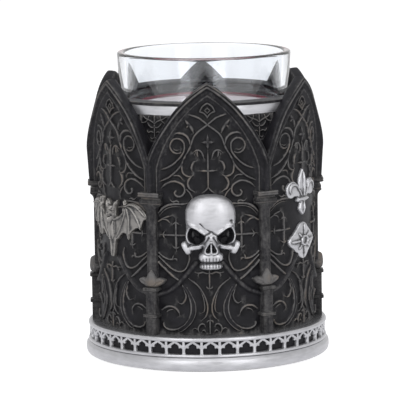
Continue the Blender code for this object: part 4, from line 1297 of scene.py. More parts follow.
def capital_rows():
    """The capital and the slab on it, whose edges step in and out."""
    return [
        (56.2, 1.98, 40.45), (56.9, 2.25, 40.7), (57.5, 2.8, 41.1), (57.9, 3.4, 41.45), (58.1, 3.85, 41.62),
        (58.25, 4.02, 41.68), (58.5, 4.02, 41.65), (58.62, 3.85, 41.3), (58.8, 3.85, 41.3),
        (58.95, 4.02, 41.5), (59.2, 4.08, 41.55), (59.8, 4.08, 41.55), (60.0, 3.95, 41.45),
        (60.15, 3.7, 41.0), (60.5, 3.62, 40.85), (60.9, 3.72, 41.1), (61.05, 3.95, 41.8),
        (61.15, 4.1, 42.2), (61.3, 4.17, 42.4), (61.66, 4.17, 42.4), (61.78, 4.08, 42.22),
        (61.9, 4.08, 42.22), (62.02, 4.17, 42.4), (62.42, 4.17, 42.4), (62.55, 4.1, 42.3),
        (62.62, 3.9, 42.0),
    ]


def lofted(rows):
    """A closed solid through rows of points with the same count, each clockwise seen from above."""
    count = len(rows[0])
    verts = np.vstack([np.array(row, float) for row in rows])
    faces = [tuple(range(count))]
    for low in range(0, (len(rows) - 1) * count, count):
        high = low + count
        for step in range(count):
            after = (step + 1) % count
            faces.append((high + step, high + after, low + after, low + step))
    faces.append(tuple(range(len(verts) - count, len(verts)))[::-1])
    return verts, faces


def pilaster_shape():
    """One pilaster, at the front."""
    rows = []
    for level, half, radius in column_rows():
        section = column_section(half, radius)
        rows.append([(x, -y, level) for x, y in section[::-1]])
    return lofted(rows)


def plate(outline, ribs, height, edge, dome, step, base=WALL_RADIUS, root=0.6, middle=0.0):
    """A raised shape on the wall: it rises from its edge over a rounded shoulder, and may be domed."""
    drawing = Drawing(outline)
    for share in (0.25, 0.6, 1.0):
        drawing.add_loop(inset_loop(outline, edge * share))
    drawing.add_ribs(ribs)
    drawing.add_field(outline, step)
    flat, triangles = drawing.lay()
    deep = np.maximum(depth_inside(flat, outline), 0.0)
    shoulder = np.sqrt(1.0 - (1.0 - np.clip(deep / edge, 0.0, 1.0)) ** 2)
    lift = (0.25 + 0.75 * shoulder) * height + dome * smoothstep(0.0, 2.4, deep)
    for rib in ribs:
        lift = lift + rib.rise(flat) * smoothstep(0.0, edge, deep)
    front = on_wall(flat[:, 0], flat[:, 1], base + lift, middle)
    back = on_wall(flat[:, 0], flat[:, 1], base - root, middle)
    return thickened(front, back, triangles)


def inset_loop(outline, distance):
    """The outline moved inwards."""
    before = np.roll(outline, 1, axis=0)
    after = np.roll(outline, -1, axis=0)
    run = after - before
    run /= np.maximum(np.linalg.norm(run, axis=1, keepdims=True), 1e-9)
    return outline + np.stack([-run[:, 1], run[:, 0]], axis=-1) * distance


def closed_outline(right, step):
    """A whole outline from its right half, which runs up from the middle line to the middle line."""
    half = smooth(right, step)
    left = mirrored(half)[::-1][1:-1]
    return np.vstack([half, left])


def finial_shape():
    """Two side leaves and a taller middle leaf above the upper ring."""
    sides = closed_outline([
        (0.0, 28.9), (1.8, 29.0), (2.6, 29.5), (3.8, 30.0), (4.6, 30.7), (5.1, 31.7), (4.2, 32.3),
        (3.1, 32.55), (2.0, 32.3), (0.9, 31.7), (0.0, 31.4)], 0.35)
    vein = curve([(1.2, 29.9), (2.8, 30.9), (4.5, 31.6)], 0.4, -0.3, (0.5, 0.4), step=0.35)
    low = plate(sides, both(vein), height=2.45, edge=0.7, dome=0.35, step=0.6)
    middle = closed_outline([
        (0.0, 28.95), (1.3, 29.1), (2.05, 30.0), (2.3, 31.2), (2.0, 32.4), (1.4, 33.6), (0.65, 34.7),
        (0.0, 35.4)], 0.35)
    ridge = stroke([(0.0, 29.8), (0.0, 34.7)], 0.45, 0.3, (0.8, 0.3), step=0.35)
    return gather([low, plate(middle, [ridge], height=2.9, edge=0.8, dome=0.35, step=0.6)])


# Collar

def drum_shape():
    """The drum inside the arches, with its lip and the well."""
    profile = rounded([
        (DRUM_RADIUS, DRUM_LOW_Z, 0), (DRUM_RADIUS, BAND_LOW_Z, 0), (DRUM_RADIUS, BAND_HIGH_Z, 0),
        (LIP_RADIUS, BAND_HIGH_Z + 0.05), (LIP_RADIUS, COLLAR_TOP_Z), (WELL_RADIUS, COLLAR_TOP_Z, 0.5),
        (WELL_RADIUS, WELL_FLOOR_Z, 0.4), (2.0, WELL_FLOOR_Z, 0), (2.0, DRUM_LOW_Z, 0)])
    return turned(profile)


def band_shape():
    """The silver band under the lip, whose lower edge is a little uneven."""
    def wander(height, angles):
        share = 1.0 if height < BAND_LOW_Z + 0.4 else 0.0
        waves = 0.05 * np.sin(11 * angles + 0.4) + 0.04 * np.sin(29 * angles)
        return share * (waves + 0.03 * np.sin(53 * angles + 1.0))
    profile = rounded([
        (36.3, BAND_LOW_Z), (36.66, BAND_LOW_Z, 0.2), (36.78, BAND_HIGH_Z, 0.15), (36.3, BAND_HIGH_Z)], 0.05)
    return turned(profile, wobble=wander)


def swag_ribs():
    """The small tracery that hangs under the band in each gap between two arches."""
    high = 0.45
    return both(
        curve([(5.0, 88.9), (3.6, 88.0), (2.0, 87.5), (0.6, 86.8), (0.0, 86.2)], 0.28, high, (0.7, 0.5),
              step=0.4),
        curve([(2.4, 89.0), (2.7, 88.0), (3.6, 87.0), (5.2, 86.5), (6.4, 86.9)], 0.24, high, (0.7, 0.5),
              step=0.4),
        curve([(0.0, 85.2), (1.1, 85.0), (2.2, 85.6), (3.0, 86.6)], 0.26, high, (0.6, 0.4), step=0.4),
        curve([(0.6, 83.2), (1.5, 83.6), (2.6, 83.2), (3.4, 83.9)], 0.24, high, (0.4, 0.4), step=0.4),
        curve([(0.2, 81.6), (1.0, 81.0), (1.8, 81.5)], 0.2, 0.8 * high, (0.6, 0.4), step=0.4),
    ) + [stroke([(0.0, 89.1), (0.0, 80.2)], 0.26, high, (0.9, 0.3), step=0.4)]


def swag_shape():
    """One swag as raised lines on the drum, with a thin ground that lies in it."""
    outline = straight([(-6.2, 80.0), (6.2, 80.0), (6.9, 89.25), (-6.9, 89.25), (-6.2, 80.0)], 1.2)[:-1]
    ribs = swag_ribs()
    drawing = Drawing(outline)
    drawing.add_ribs(ribs)
    drawing.add_field(outline, 1.5)
    flat, triangles = drawing.lay()
    lift = highest(ribs, flat)
    ground = DRUM_RADIUS + 0.05 * smoothstep(0.0, 0.5, depth_inside(flat, outline))
    front = on_wall(flat[:, 0], flat[:, 1], ground + lift)
    back = on_wall(flat[:, 0], flat[:, 1], DRUM_RADIUS - 0.5)
    return thickened(front, back, triangles)


# Foot

def foot_profile():
    """The round silver moulding of the foot, with the recess for the felt."""
    recess = (FELT_HIGH[2] - FOOT_Z) / UNIT + 0.3
    return rounded([
        (38.0, recess, 0), (41.0, recess, 0.1), (41.0, 0.0, 0.15), (42.5, 0.0, 0.5), (43.75, 0.75, 0.9),
        (44.02, 2.3, 1.2), (43.8, 3.9, 1.0), (43.0, 4.55, 0.35), (42.75, 4.85, 0.12), (43.05, 5.1, 0.2),
        (43.0, 5.75, 0.25), (42.55, 6.02, 0.15), (38.0, 6.02, 0)], 0.3, 5)


def rail_profile():
    """The bead above the bays and the small fillet on top of it."""
    return rounded([
        (39.5, BAY_HIGH_Z - 0.05, 0), (42.75, BAY_HIGH_Z - 0.05, 0.12), (43.05, BAY_HIGH_Z + 0.35, 0.3),
        (43.0, 11.6, 0.4), (42.5, 11.95, 0.25), (41.0, 12.1, 0.2), (38.4, 12.2, 0)], 0.3, 4)


def bay_back_profile():
    """The dark ground behind the bays."""
    return [(39.0, 5.7), (BAY_BACK_RADIUS, 5.7), (BAY_BACK_RADIUS, 8.0), (BAY_BACK_RADIUS, 10.7),
            (39.0, 10.7)]


def bay_openings(half):
    """The openings of one bay: the trefoil, and a small triangle at each side over its gable."""
    inner = half - MULLION_HALF
    right = np.vstack([
        [(0.0, BAY_LOW_Z + 0.05), (inner - 0.25, BAY_LOW_Z + 0.05), (inner - 0.04, BAY_LOW_Z + 0.22),
         (inner, 7.4)],
        arc((inner - 0.62, 7.62), 0.62, 0, 95, 0.2),
        [(inner - 1.0, 8.12), (1.42, 8.2), (1.32, 8.42)],
        smooth([(1.38, 8.62), (1.3, 8.98), (0.95, 9.32), (0.42, 9.62), (0.0, 9.9)], 0.2),
    ])
    trefoil = np.vstack([right, mirrored(right)[::-1][1:-1]])
    corner = np.array([(inner + 0.06, 9.22), (inner + 0.06, BAY_HIGH_Z - 0.02), (0.72, BAY_HIGH_Z - 0.02)])
    return [trefoil, corner, mirrored(corner)[::-1]]


def bay_ring_shape(count):
    """The pierced silver ring in front of the dark ground."""
    pitch = tau / count * DRAWING_RADIUS
    half = 0.5 * pitch
    scale = DRAWING_RADIUS / BAR_RADIUS
    low, high = BAY_LOW_Z - 0.15, BAY_HIGH_Z + 0.1
    outline = straight([(-half, low), (half, low), (half, high), (-half, high), (-half, low)], 0.7)[:-1]
    drawing = Drawing(outline)
    openings = [loop * (scale, 1.0) for loop in bay_openings(half / scale)]
    for loop in openings:
        drawing.add_loop(loop)
        drawing.add_loop(inset_loop(loop, -BAR_BEVEL))
    flat, triangles = drawing.lay(0.004)
    centre = flat[triangles].mean(axis=1)
    for loop in openings:
        keep = ~inside(centre, loop)
        triangles, centre = triangles[keep], centre[keep]
    deep = np.min([-depth_inside(flat, loop) for loop in openings], axis=0)
    radius = BAR_RADIUS - BAR_BEVEL_DEPTH * (1.0 - smoothstep(0.0, BAR_BEVEL, deep))
    parts = []
    for number in range(count):
        turn = tau * number / count
        front = on_wall(flat[:, 0], flat[:, 1], radius, turn)
        back = on_wall(flat[:, 0], flat[:, 1], BAY_BACK_RADIUS - 0.2, turn)
        count_front = len(front)
        faces = [tuple(face) for face in triangles]
        for a, b in rim_edges(triangles):
            if min(abs(flat[a][0]), abs(flat[b][0])) > half - 0.01:
                continue
            faces.append((b, a, a + count_front, b + count_front))
        faces += [tuple(face[::-1] + count_front) for face in triangles]
        parts.append((np.vstack([front, back]), faces))
    verts, faces = gather(parts)
    return welded(verts, faces, np.zeros(len(verts)))[:2]


# Skull

def lump(bm, centre, size, lean, square):
    """A lump in the skull's own space (along the wall, up, out of it), rounded like a ball or squarer."""
    matrix = (Matrix.Translation((centre[0], -centre[2], centre[1])) @ Matrix.Rotation(-lean, 4, "Y")
              @ Matrix.Diagonal((size[0], size[2], size[1], 1.0)))
    made = bmesh.ops.create_uvsphere(bm, u_segments=40, v_segments=24, radius=1.0)
    for vert in made["verts"]:
        reach = sum(abs(value) ** square for value in vert.co) ** (1.0 / square)
        vert.co = matrix @ (vert.co / reach)


def skull_lumps(bm):
    """The bones of the skull, before its hollows are carved."""
    for bone in MIDDLE_BONES.values():
        lump(bm, *bone)
    for side in (-1.0, 1.0):
        for (u, z, out), size, lean, square in PAIRED_BONES.values():
            lump(bm, (side * u, z, out), size, side * lean, square)


def socket_outline(side):
    """The edge of an eye socket, slanting down to the nose."""
    half = smooth([(1.7, 48.0), (3.3, 49.2), (4.7, 50.4), (6.05, 50.95), (7.25, 50.1), (7.9, 48.5),
                   (7.75, 46.7), (6.8, 45.3), (5.0, 44.65), (3.2, 45.2), (2.0, 46.6),
                   (1.7, 48.0)], 0.35)[:-1]
    return half * (side, 1.0)


def nostril_outline(side):
    """The edge of one half of the nose's hollow."""
    half = smooth([(0.22, 45.5), (0.65, 44.9), (1.3, 43.8), (1.75, 42.8), (1.65, 42.15), (1.05, 41.9),
                   (0.45, 42.15), (0.24, 43.2), (0.22, 45.5)], 0.3)[:-1]
    return half * (side, 1.0)


def carve(flat, out, dark):
    """Sink the eye sockets, the nose, the crack and the gaps of the teeth into the skull's front."""
    front = smoothstep(0.3, 1.0, out)
    for side in (-1.0, 1.0):
        for outline, hollow in ((socket_outline(side), EYE_SOCKET), (nostril_outline(side), NOSTRIL)):
            depth, slope, rim, place, width, paint = hollow
            deep = depth_inside(flat, outline)
            out = out - front * depth * smoothstep(HOLLOW_START, slope, deep)
            out = out + front * rim * np.exp(-((deep + place) / width) ** 2)
            dark = np.maximum(dark, smoothstep(*paint, deep))
    for path, half, depth, shade in skull_lines():
        gap, _ = nearest(flat, path)
        share = np.exp(-(gap / half) ** 2)
        out = out - front * depth * share
        dark = np.maximum(dark, np.minimum(shade, 1.0) * smoothstep(0.35, 0.9, share))
    return out, dark


def skull_lines():
    """The carved lines: path, half width, depth and how dark the paint in it is."""
    lines = [
        (smooth([(-3.4, 52.4), (-2.8, 51.7), (-1.9, 50.8), (-0.9, 50.0), (-0.1, 49.6)]), 0.14, 0.25, 0.25),
        (smooth([(-3.4, 52.4), (-2.8, 51.7)], 0.2), 0.2, 0.45, 1.0),
        (smooth([(-1.1, 50.2), (-0.4, 49.7)], 0.2), 0.2, 0.45, 1.0),
        (smooth([(6.35, 53.2), (6.8, 53.3), (6.95, 52.6)], 0.2), 0.36, 0.6, 1.0),
        (smooth([(-1.75, 48.3), (-0.9, 48.75), (0.05, 49.5), (0.95, 48.75), (1.75, 48.3)], 0.2), 0.34, 0.7,
         0.95),
        (smooth([(-4.6, 38.55), (-2.0, 38.35), (0.0, 38.3), (2.0, 38.35), (4.6, 38.55)]), 0.2, 1.1, 0.95),
        (straight([(1.2, 38.35), (4.4, 38.5)]), 0.3, 0.4, 1.0),
    ]
    for side in (-1.0, 1.0):
        lines += [
            (smooth([(0.75, 47.3), (1.35, 46.3), (2.2, 45.2)], 0.3) * (side, 1.0), 0.26, 0.6, 0.9),
            (smooth([(2.75, 44.0), (2.95, 43.0), (3.5, 42.3)], 0.3) * (side, 1.0), 0.42, 1.0, 0.95),
            (smooth([(6.9, 44.75), (7.5, 44.3)], 0.2) * (side, 1.0), 0.26, 0.9, 0.95),
        ]
    for number in range(-3, 5):
        u = (number - 0.5) * TOOTH_PITCH
        lines.append((straight([(u, 40.1 - 0.04 * u * u), (0.98 * u, 38.6)]), 0.14, 0.36, 0.8))
        lines.append((straight([(0.97 * u, 38.2), (0.92 * u, 36.6)]), 0.15, 0.4, 0.7 + 0.08 * abs(u)))
    return lines


def skull_shape():
    """The skull: lumps joined by a fine remesh, smoothed, carved and laid on the wall."""
    bm = bmesh.new()
    skull_lumps(bm)
    rough = bpy.data.meshes.new("skull_rough")
    bm.to_mesh(rough)
    bm.free()
    item = bpy.data.objects.new("skull_rough", rough)
    bpy.context.scene.collection.objects.link(item)
    remesh = item.modifiers.new("join", "REMESH")
    remesh.mode = "VOXEL"
    remesh.voxel_size = SKULL_VOXEL
    settle = item.modifiers.new("settle", "SMOOTH")
    settle.factor = 0.5
    settle.iterations = 5
    shape = item.evaluated_get(bpy.context.evaluated_depsgraph_get()).to_mesh()
    points = np.array([tuple(vert.co) for vert in shape.vertices])
    faces = [tuple(polygon.vertices) for polygon in shape.polygons]
    bpy.data.objects.remove(item, do_unlink=True)
    flat = points[:, [0, 2]]
    out = -points[:, 1]
    keep = np.flatnonzero(out > SKULL_BACK)
    number = -np.ones(len(points), int)
    number[keep] = np.arange(len(keep))
    faces = [tuple(number[list(face)]) for face in faces if min(number[list(face)]) >= 0]
    flat, out = flat[keep], out[keep]
    out, dark = carve(flat, out, np.zeros(len(flat)))
    return on_wall(flat[:, 0] + SKULL_U, flat[:, 1], WALL_RADIUS + out), faces, dark


# Bat

def bat_outline():
    """The bat's spread wings, body and tail, from its tail round the right wing to its head."""
    return closed_outline([
        (0.0, 38.0), (0.5, 38.1), (0.8, 39.6), (1.15, 42.0), (1.9, 44.2), (3.2, 44.9), (4.4, 46.3),
        (5.6, 47.1), (6.9, 46.8), (7.6, 45.1), (8.2, 45.0), (8.8, 47.2), (10.2, 48.6), (11.6, 49.4),
        (12.6, 49.0), (13.0, 48.5), (13.4, 50.4), (14.2, 52.3), (15.6, 53.2), (14.9, 55.0), (13.2, 56.9),
        (11.0, 58.0), (9.0, 58.2), (7.5, 57.4), (6.9, 58.9), (6.2, 58.9), (6.1, 57.2), (5.9, 54.8),
        (5.0, 53.6), (3.4, 53.0), (2.2, 53.2), (2.1, 54.6), (2.6, 56.4), (2.9, 58.6), (1.9, 57.9),
        (1.0, 56.7), (0.0, 56.5)], 0.35)


def bat_ribs():
    """The fingers of the wings, the arms, the brow and the body."""
    high = 0.5
    wrist = (7.0, 56.9)
    return both(
        curve([(2.0, 51.6), (3.8, 52.7), (5.4, 54.2), wrist], 0.5, 0.8, (0.9, 0.8), step=0.4),
        curve([wrist, (9.2, 57.6), (11.4, 57.1), (13.4, 55.6), (15.2, 53.4)], 0.42, 0.7, (0.9, 0.35),
              step=0.4),
        curve([wrist, (9.4, 56.2), (11.3, 53.9), (12.4, 51.4), (13.0, 48.9)], 0.32, high, (0.9, 0.5),
              step=0.4),
        curve([wrist, (8.2, 54.8), (8.7, 51.8), (8.5, 48.8), (8.0, 45.5)], 0.32, high, (0.9, 0.5),
              step=0.4),
        curve([wrist, (6.8, 54.4), (5.9, 51.2), (4.2, 47.9), (2.4, 45.2)], 0.28, high, (0.9, 0.4),
              step=0.4),
        curve([(6.9, 57.0), (6.7, 58.0), (6.5, 58.7)], 0.3, 0.7, (0.9, 0.5), step=0.3),
        curve([(1.4, 54.9), (2.0, 56.4), (2.4, 57.9)], 0.42, 0.9, (0.9, 0.3), step=0.3),
        curve([(0.3, 53.4), (1.0, 54.2), (1.7, 54.3)], 0.25, 0.45, (0.8, 0.4), step=0.3),
        curve([(1.2, 50.8), (1.0, 48.6), (1.1, 46.4), (0.7, 44.6)], 0.5, 0.5, (0.6, 0.5), step=0.4),
    ) + [
        stroke([(0.0, 56.2), (0.0, 51.8)], 1.5, 1.5, (0.7, 0.8), step=0.4),
        stroke([(0.0, 51.5), (0.0, 45.0)], 1.1, 0.9, (0.9, 0.6), step=0.4),
        stroke([(0.0, 44.6), (0.0, 38.6)], 0.42, 0.6, (0.9, 0.5), step=0.4),
    ]


def bat_marks():
    """Sunk places of the bat: its eyes, its mouth and the folds beside its body."""
    return both(
        curve([(0.55, 54.9), (1.0, 54.6), (1.3, 54.8)], 0.26, -0.5, (0.9, 0.6), step=0.2),
        curve([(0.0, 52.7), (0.5, 52.6), (0.9, 52.9)], 0.2, -0.45, (0.9, 0.5), step=0.2),
        curve([(2.4, 51.0), (2.4, 48.6), (2.1, 46.4)], 0.35, -0.4, (0.6, 0.5), step=0.4),
    )


def bat_shape():
    """The bat, with thin wings and a fuller body."""
    outline = bat_outline() * (BAT_SPREAD, 1.0)
    ribs = [rib.widened(BAT_SPREAD) for rib in bat_ribs() + bat_marks()]
    return plate(outline, ribs, height=1.05, edge=0.3, dome=0.35, step=0.7, base=WALL_RADIUS + 0.3, root=0.9,
                 middle=BAT_SIDEWAYS - PANEL_ANGLE)


# Ornament

def lily_outline():
    """A lily with two curled side leaves."""
    return closed_outline([
        (0.0, 51.6), (0.9, 52.6), (1.7, 54.0), (1.2, 56.3), (2.6, 56.6), (2.9, 57.4), (2.5, 58.4),
        (4.0, 58.7), (5.3, 58.2), (6.6, 58.7), (7.3, 60.4), (7.2, 62.4), (5.8, 64.0), (4.1, 64.2),
        (2.9, 63.1), (2.1, 61.4), (1.9, 63.2), (1.4, 65.6), (0.0, 68.2)], 0.4)


def rosette_outline():
    """Four pointed petals with smaller ones between them."""
    loop = []
    for step in range(96):
        angle = tau * step / 96
        reach = 4.3 + 2.3 * abs(cos(2 * angle)) ** 1.6 + 0.9 * abs(sin(2 * angle)) ** 8
        loop.append((reach * cos(angle), ROSETTE_Z + reach * sin(angle)))
    return np.array(loop)


def lily_ribs():
    """Veins of the lily and the band that ties it."""
    return both(
        curve([(1.3, 59.0), (2.2, 61.0), (3.6, 62.9), (5.4, 63.0), (6.3, 61.6), (6.0, 60.2)], 0.45, 0.5,
              (0.5, 0.4), step=0.4),
    ) + [
        stroke([(0.0, 58.9), (0.0, 67.0)], 0.5, 0.6, (0.7, 0.3), step=0.4),
        stroke([(0.0, 56.0), (0.0, 52.4)], 0.4, 0.5, (0.7, 0.3), step=0.4),
        stroke([(-2.5, 57.5), (2.5, 57.5)], 0.55, 0.6, (0.8, 0.8), step=0.4),
    ]


def ornament_shape(outline, ribs):
    """One part of the ornament, widened and laid on the right panel."""
    wide = [rib.widened(ORNAMENT_SPREAD) for rib in ribs]
    return plate(outline * (ORNAMENT_SPREAD, 1.0), wide, height=1.1, edge=0.45, dome=0.3, step=0.7, root=0.5,
                 middle=PANEL_ANGLE + ORNAMENT_SIDEWAYS)


def rosette_ribs():
    """A vein along each petal and a ring round the middle."""
    ribs = []
    for step in range(8):
        angle = tau * step / 8
        reach = 5.8 if step % 2 == 0 else 3.9
        ends = [(r * cos(angle), ROSETTE_Z + r * sin(angle)) for r in (2.3, reach)]
        ribs.append(stroke(ends, 0.4, 0.45, (0.9, 0.3), step=0.4))
    ribs.append(Rib(arc((0.0, ROSETTE_Z), 1.55, 0, 350, 0.35), 0.42, 0.7, (1.0, 1.0)))
    return ribs


# Glass, disc and felt

def glass_profile():
    """The cup's section, outside from the foot to the rim and inside back to the floor."""
    low = (GLASS_LOW[2] - FOOT_Z) / UNIT
    high = (GLASS_HIGH[2] - FOOT_Z) / UNIT
    rim = (GLASS_HIGH[0] - GLASS_LOW[0]) / UNIT / 2.0
    wall = sizes().glass_wall / UNIT
    waist = WELL_RADIUS - GLASS_GAP
    waist_z = COLLAR_TOP_Z - 1.0
    mouth = rim + MOUTH_FLARE
    floor = low + GLASS_FLOOR
    under = low - GLASS_SEAT
    corners = [
        (0.0, under, 0), (waist - 5.2, under, 1.0), (waist - 0.1, low + 3.4, 4.0), (waist, waist_z, 1.5),
        (mouth, high, RIM_BEND), (mouth - wall, high, RIM_BEND), (waist - wall, waist_z, 1.5),
        (waist - wall - 0.3, floor + 0.3, 2.0), (waist - wall - 2.4, floor, 1.0), (0.0, floor, 0),
    ]
    return rounded(corners, steps=8, closed=False)


def spun_solid(profile):
    """A turned solid whose profile starts and ends on the axis."""
    verts, faces = turned(profile[1:-1], closed=False)
    bottom, top = len(verts), len(verts) + 1
    last = len(verts) - FINE_FACETS
    verts = np.vstack([verts, (0.0, 0.0, profile[0][1]), (0.0, 0.0, profile[-1][1])])
    for step in range(FINE_FACETS):
        after = (step + 1) % FINE_FACETS
        faces.append((bottom, after, step))
        faces.append((last + step, last + after, top))
    return verts, faces


def round_sheet(box_low, box_high):
    """A thin round sheet that fills its CAD box, with a soft edge."""
    low, high = (box_low[2] - FOOT_Z) / UNIT, (box_high[2] - FOOT_Z) / UNIT
    radius = 0.5 * (box_high[0] - box_low[0]) / UNIT
    reach = np.linspace(0.0, radius - SHEET_EDGE, SHEET_ROWS)[1:]
    profile = [(0.0, low), *((r, low) for r in reach), (radius, low + SHEET_EDGE),
               (radius, high - SHEET_EDGE)]
    profile += [*((r, high) for r in reach[::-1]), (0.0, high)]
    return spun_solid(profile)


# Stage

def area_lamp(name, place, size, energy):
    """A soft white light aimed at the holder's middle."""
    data = bpy.data.lights.new(name, "AREA")
    data.shape = "RECTANGLE"
    data.size, data.size_y = size
    data.energy = energy
    lamp = bpy.data.objects.new(name, data)
    bpy.context.scene.collection.objects.link(lamp)
    lamp.location = place
    lamp.rotation_euler = (Vector(LAMP_AIM) - Vector(place)).to_track_quat("-Z", "Y").to_euler()


def seen_or_reflected(tree):
    """1 for rays from the camera, from gloss and through glass."""
    rays = tree.nodes.new("ShaderNodeLightPath").outputs
    total = math_node(tree, "ADD", rays["Is Camera Ray"], rays["Is Glossy Ray"])
    return math_node(tree, "ADD", total, rays["Is Transmission Ray"], clamp=True)


def make_world():
    """A soft grey light from all round, white where it is seen or reflected."""
    world = bpy.data.worlds.new("studio")
    bpy.context.scene.world = world
    world.use_nodes = True
    tree = world.node_tree
    background = tree.nodes["Background"]
    background.inputs["Color"].default_value = (1.0, 1.0, 1.0, 1.0)
    strength = math_node(tree, "MULTIPLY", seen_or_reflected(tree), 1.0 - WORLD_LIGHT)
    tree.links.new(math_node(tree, "ADD", strength, WORLD_LIGHT), background.inputs["Strength"])


def make_floor():
    """A round white floor that keeps the object's soft shadow."""
    material, tree, shader = new_material("studio_floor")
    shader.inputs["Base Color"].default_value = (*FLOOR_COLOUR, 1.0)
    shader.inputs["Roughness"].default_value = 0.9
    shader.inputs["Specular IOR Level"].default_value = 0.0
    shader.inputs["Emission Color"].default_value = (1.0, 1.0, 1.0, 1.0)
    glow = math_node(tree, "MULTIPLY", seen_or_reflected(tree), FLOOR_GLOW)
    tree.links.new(glow, shader.inputs["Emission Strength"])
    bm = bmesh.new()
    bmesh.ops.create_circle(bm, cap_ends=True, segments=96, radius=FLOOR_RADIUS)
    mesh = bpy.data.meshes.new("studio_floor")
    bm.to_mesh(mesh)
    bm.free()
    mesh.materials.append(material)
    floor = bpy.data.objects.new("studio_floor", mesh)
    bpy.context.scene.collection.objects.link(floor)
    floor.location.z = CAD_BOUNDS[0][2] - 0.0001


def make_camera():
    """The photograph's view: from the front, a little to the left and above."""
    data = bpy.data.cameras.new("camera")
    data.sensor_width = 36.0
    data.lens = PHOTO_FOCAL * data.sensor_width / PHOTO_SIZE
    data.shift_x = CAMERA_SHIFT
    data.clip_end = 20.0
    camera = bpy.data.objects.new("camera", data)
    bpy.context.scene.collection.objects.link(camera)
    target = Vector((0.0, 0.0, CAMERA_AIM_Z * UNIT + FOOT_Z))
    level = cos(CAMERA_TILT)
    away = Vector((-sin(CAMERA_AZIMUTH) * level, -cos(CAMERA_AZIMUTH) * level, sin(CAMERA_TILT)))
    camera.location = target + away * (CAMERA_DISTANCE * UNIT)
    aim = (target - camera.location).to_track_quat("-Z", "Y").to_matrix().to_4x4()
    camera.matrix_world = Matrix.Translation(camera.location) @ aim @ Matrix.Rotation(-CAMERA_ROLL, 4, "Z")
    bpy.context.scene.camera = camera


# Operators

class HOLDER_OT_wall(bpy.types.Operator):
    """Build the arcaded wall with its frames and tracery"""

    bl_idname = "holder.wall"
    bl_label = "Arcaded wall"

    def execute(self, context):
        verts, faces, raised = arcade_wall()
        resin_piece("arcade_wall", (verts, faces), 60, raised=raised)
        return {"FINISHED"}


class HOLDER_OT_pilasters(bpy.types.Operator):
    """Build the six pilasters with their rings, capitals and finials"""

    bl_idname = "holder.pilasters"
    bl_label = "Pilasters"

    def execute(self, context):
        material = resin_material("dry_brushed_resin", 0.95, 0.55)
        column, column_faces = pilaster_shape()
        reach = np.hypot(column[:, 0], column[:, 1])
        caught = SHAFT_BRUSH + RING_BRUSH * smoothstep(*RING_BRUSH_RADII, reach)
        leaves, leaf_faces = finial_shape()
        reach = np.hypot(leaves[:, 0], leaves[:, 1])
        tips = LEAF_BRUSH[0] + LEAF_BRUSH[1] * smoothstep(*np.quantile(reach, (0.3, 0.95)), reach)
        for number in range(PANEL_COUNT):
            turn = PANEL_ANGLE * (number + 0.5)
            shape = turned_about(column, turn), column_faces
            resin_piece(f"pilaster_{number + 1}", shape, 50, material, raised=caught)
            shape = turned_about(leaves, turn), leaf_faces
            resin_piece(f"finial_{number + 1}", shape, 60, material, raised=tips)
        return {"FINISHED"}


class HOLDER_OT_collar(bpy.types.Operator):
    """Build the drum with the well, its silver band and the tracery under it"""

    bl_idname = "holder.collar"
    bl_label = "Collar"

    def execute(self, context):
        resin_piece("drum", drum_shape(), 40)
        silver_piece("collar_band", band_shape(), 40)
        verts, faces = swag_shape()
        for number in range(PANEL_COUNT):
            turn = PANEL_ANGLE * (number + 0.5)
            resin_piece(f"swag_{number + 1}", (turned_about(verts, turn), faces), 60)
        return {"FINISHED"}


class HOLDER_OT_foot(bpy.types.Operator):
    """Build the moulded foot, its ring of bays and the rail"""

    bl_idname = "holder.foot"
    bl_label = "Foot"

    def execute(self, context):
        verts, faces = turned(foot_profile())
        # Painted shade along the groove over the moulding
        groove = GROOVE_SHADE * np.exp(-((verts[:, 2] - GROOVE_Z) / GROOVE_HALF) ** 2)
        silver_piece("foot_ring", (verts, faces), 60, dark=groove)
        verts, faces = turned(rail_profile())
        # Painted shade on the rail's top, at the foot of the wall
        edge = RAIL_SHADE * smoothstep(*RAIL_SHADE_HEIGHTS, verts[:, 2])
        silver_piece("foot_rail", (verts, faces), 60, dark=edge)
        resin_piece("bay_ground", turned(bay_back_profile()), 40, resin_material("bay_resin", 0.15, 0.0))
        silver_piece("bay_bars", bay_ring_shape(sizes().bays), 50)
        return {"FINISHED"}


class HOLDER_OT_skull(bpy.types.Operator):
    """Build the skull on the front panel"""

    bl_idname = "holder.skull"
    bl_label = "Skull"

    def execute(self, context):
        verts, faces, dark = skull_shape()
        material = metal_material("skull_silver", colours().silver, 0.8, 0.3, 0.42)
        silver_piece("skull", (verts, faces), None, material, dark=dark)
        return {"FINISHED"}


class HOLDER_OT_bat(bpy.types.Operator):
    """Build the bat on the left panel"""

    bl_idname = "holder.bat"
    bl_label = "Bat"

    def execute(self, context):
        silver_piece("bat", bat_shape(), 60, pewter_material())
        return {"FINISHED"}


class HOLDER_OT_ornament(bpy.types.Operator):
    """Build the lily and the rosette on the right panel"""

    bl_idname = "holder.ornament"
    bl_label = "Ornament"

    def execute(self, context):
        material = metal_material("ornament_silver", colours().silver, 1.0, 0.7, 0.36)
        silver_piece("lily", ornament_shape(lily_outline(), lily_ribs()), 60, material)
        silver_piece("rosette", ornament_shape(rosette_outline(), rosette_ribs()), 60, material)
        return {"FINISHED"}


class HOLDER_OT_cup(bpy.types.Operator):
    """Build the glass cup, the paper disc under it and the felt pad"""

    bl_idname = "holder.cup"
    bl_label = "Cup, disc and felt"

    def execute(self, context):
        make_piece("cup", *spun_solid(glass_profile()), glass_material(), "clear_glass", ["glass_cup"])
        sheet = round_sheet(DISC_LOW, DISC_HIGH)
        make_piece("disc", *sheet, paper_material(), "printed_paper", ["cup_disc"], 40)
        sheet = round_sheet(FELT_LOW, FELT_HIGH)
        make_piece("felt", *sheet, felt_material(), "black_felt", ["base_felt"], 40)
        return {"FINISHED"}


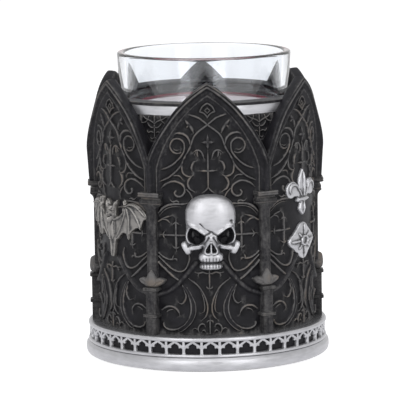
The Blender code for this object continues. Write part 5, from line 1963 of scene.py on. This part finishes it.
class HOLDER_OT_stage(bpy.types.Operator):
    """Set up the floor, the soft lights and the camera"""

    bl_idname = "holder.stage"
    bl_label = "Stage"

    def execute(self, context):
        context.scene.view_settings.view_transform = "Standard"
        make_world()
        make_floor()
        for lamp in LAMPS:
            area_lamp(*lamp)
        make_camera()
        return {"FINISHED"}


class HOLDER_PT_sidebar(bpy.types.Panel):
    """Sidebar panel with every piece of the holder"""

    bl_idname = "HOLDER_PT_sidebar"
    bl_label = "Tea light holder"
    bl_space_type = "VIEW_3D"
    bl_region_type = "UI"
    bl_category = "Holder"

    def draw(self, context):
        layout = self.layout
        for group in (context.scene.holder_sizes, context.scene.holder_colours):
            box = layout.box()
            for name in group.bl_rna.properties.keys():
                if name not in ("rna_type", "name"):
                    box.prop(group, name)
        for operator in PIECE_OPERATORS:
            layout.operator(operator.bl_idname)


PIECE_OPERATORS = (
    HOLDER_OT_stage,
    HOLDER_OT_wall,
    HOLDER_OT_pilasters,
    HOLDER_OT_collar,
    HOLDER_OT_foot,
    HOLDER_OT_skull,
    HOLDER_OT_bat,
    HOLDER_OT_ornament,
    HOLDER_OT_cup,
)
CLASSES = (HolderSizes, HolderColours, *PIECE_OPERATORS, HOLDER_PT_sidebar)


def register():
    """Make the properties, the operators and the panel known to Blender."""
    for item in CLASSES:
        bpy.utils.register_class(item)
    bpy.types.Scene.holder_sizes = PointerProperty(type=HolderSizes)
    bpy.types.Scene.holder_colours = PointerProperty(type=HolderColours)


def unregister():
    """Take them away again."""
    del bpy.types.Scene.holder_colours
    del bpy.types.Scene.holder_sizes
    for item in reversed(CLASSES):
        bpy.utils.unregister_class(item)


def main():
    """Build the stage and every piece."""
    register()
    bpy.ops.holder.stage()
    bpy.ops.holder.wall()
    bpy.ops.holder.pilasters()
    bpy.ops.holder.collar()
    bpy.ops.holder.foot()
    bpy.ops.holder.skull()
    bpy.ops.holder.bat()
    bpy.ops.holder.ornament()
    bpy.ops.holder.cup()


if __name__ == "__main__":
    main()
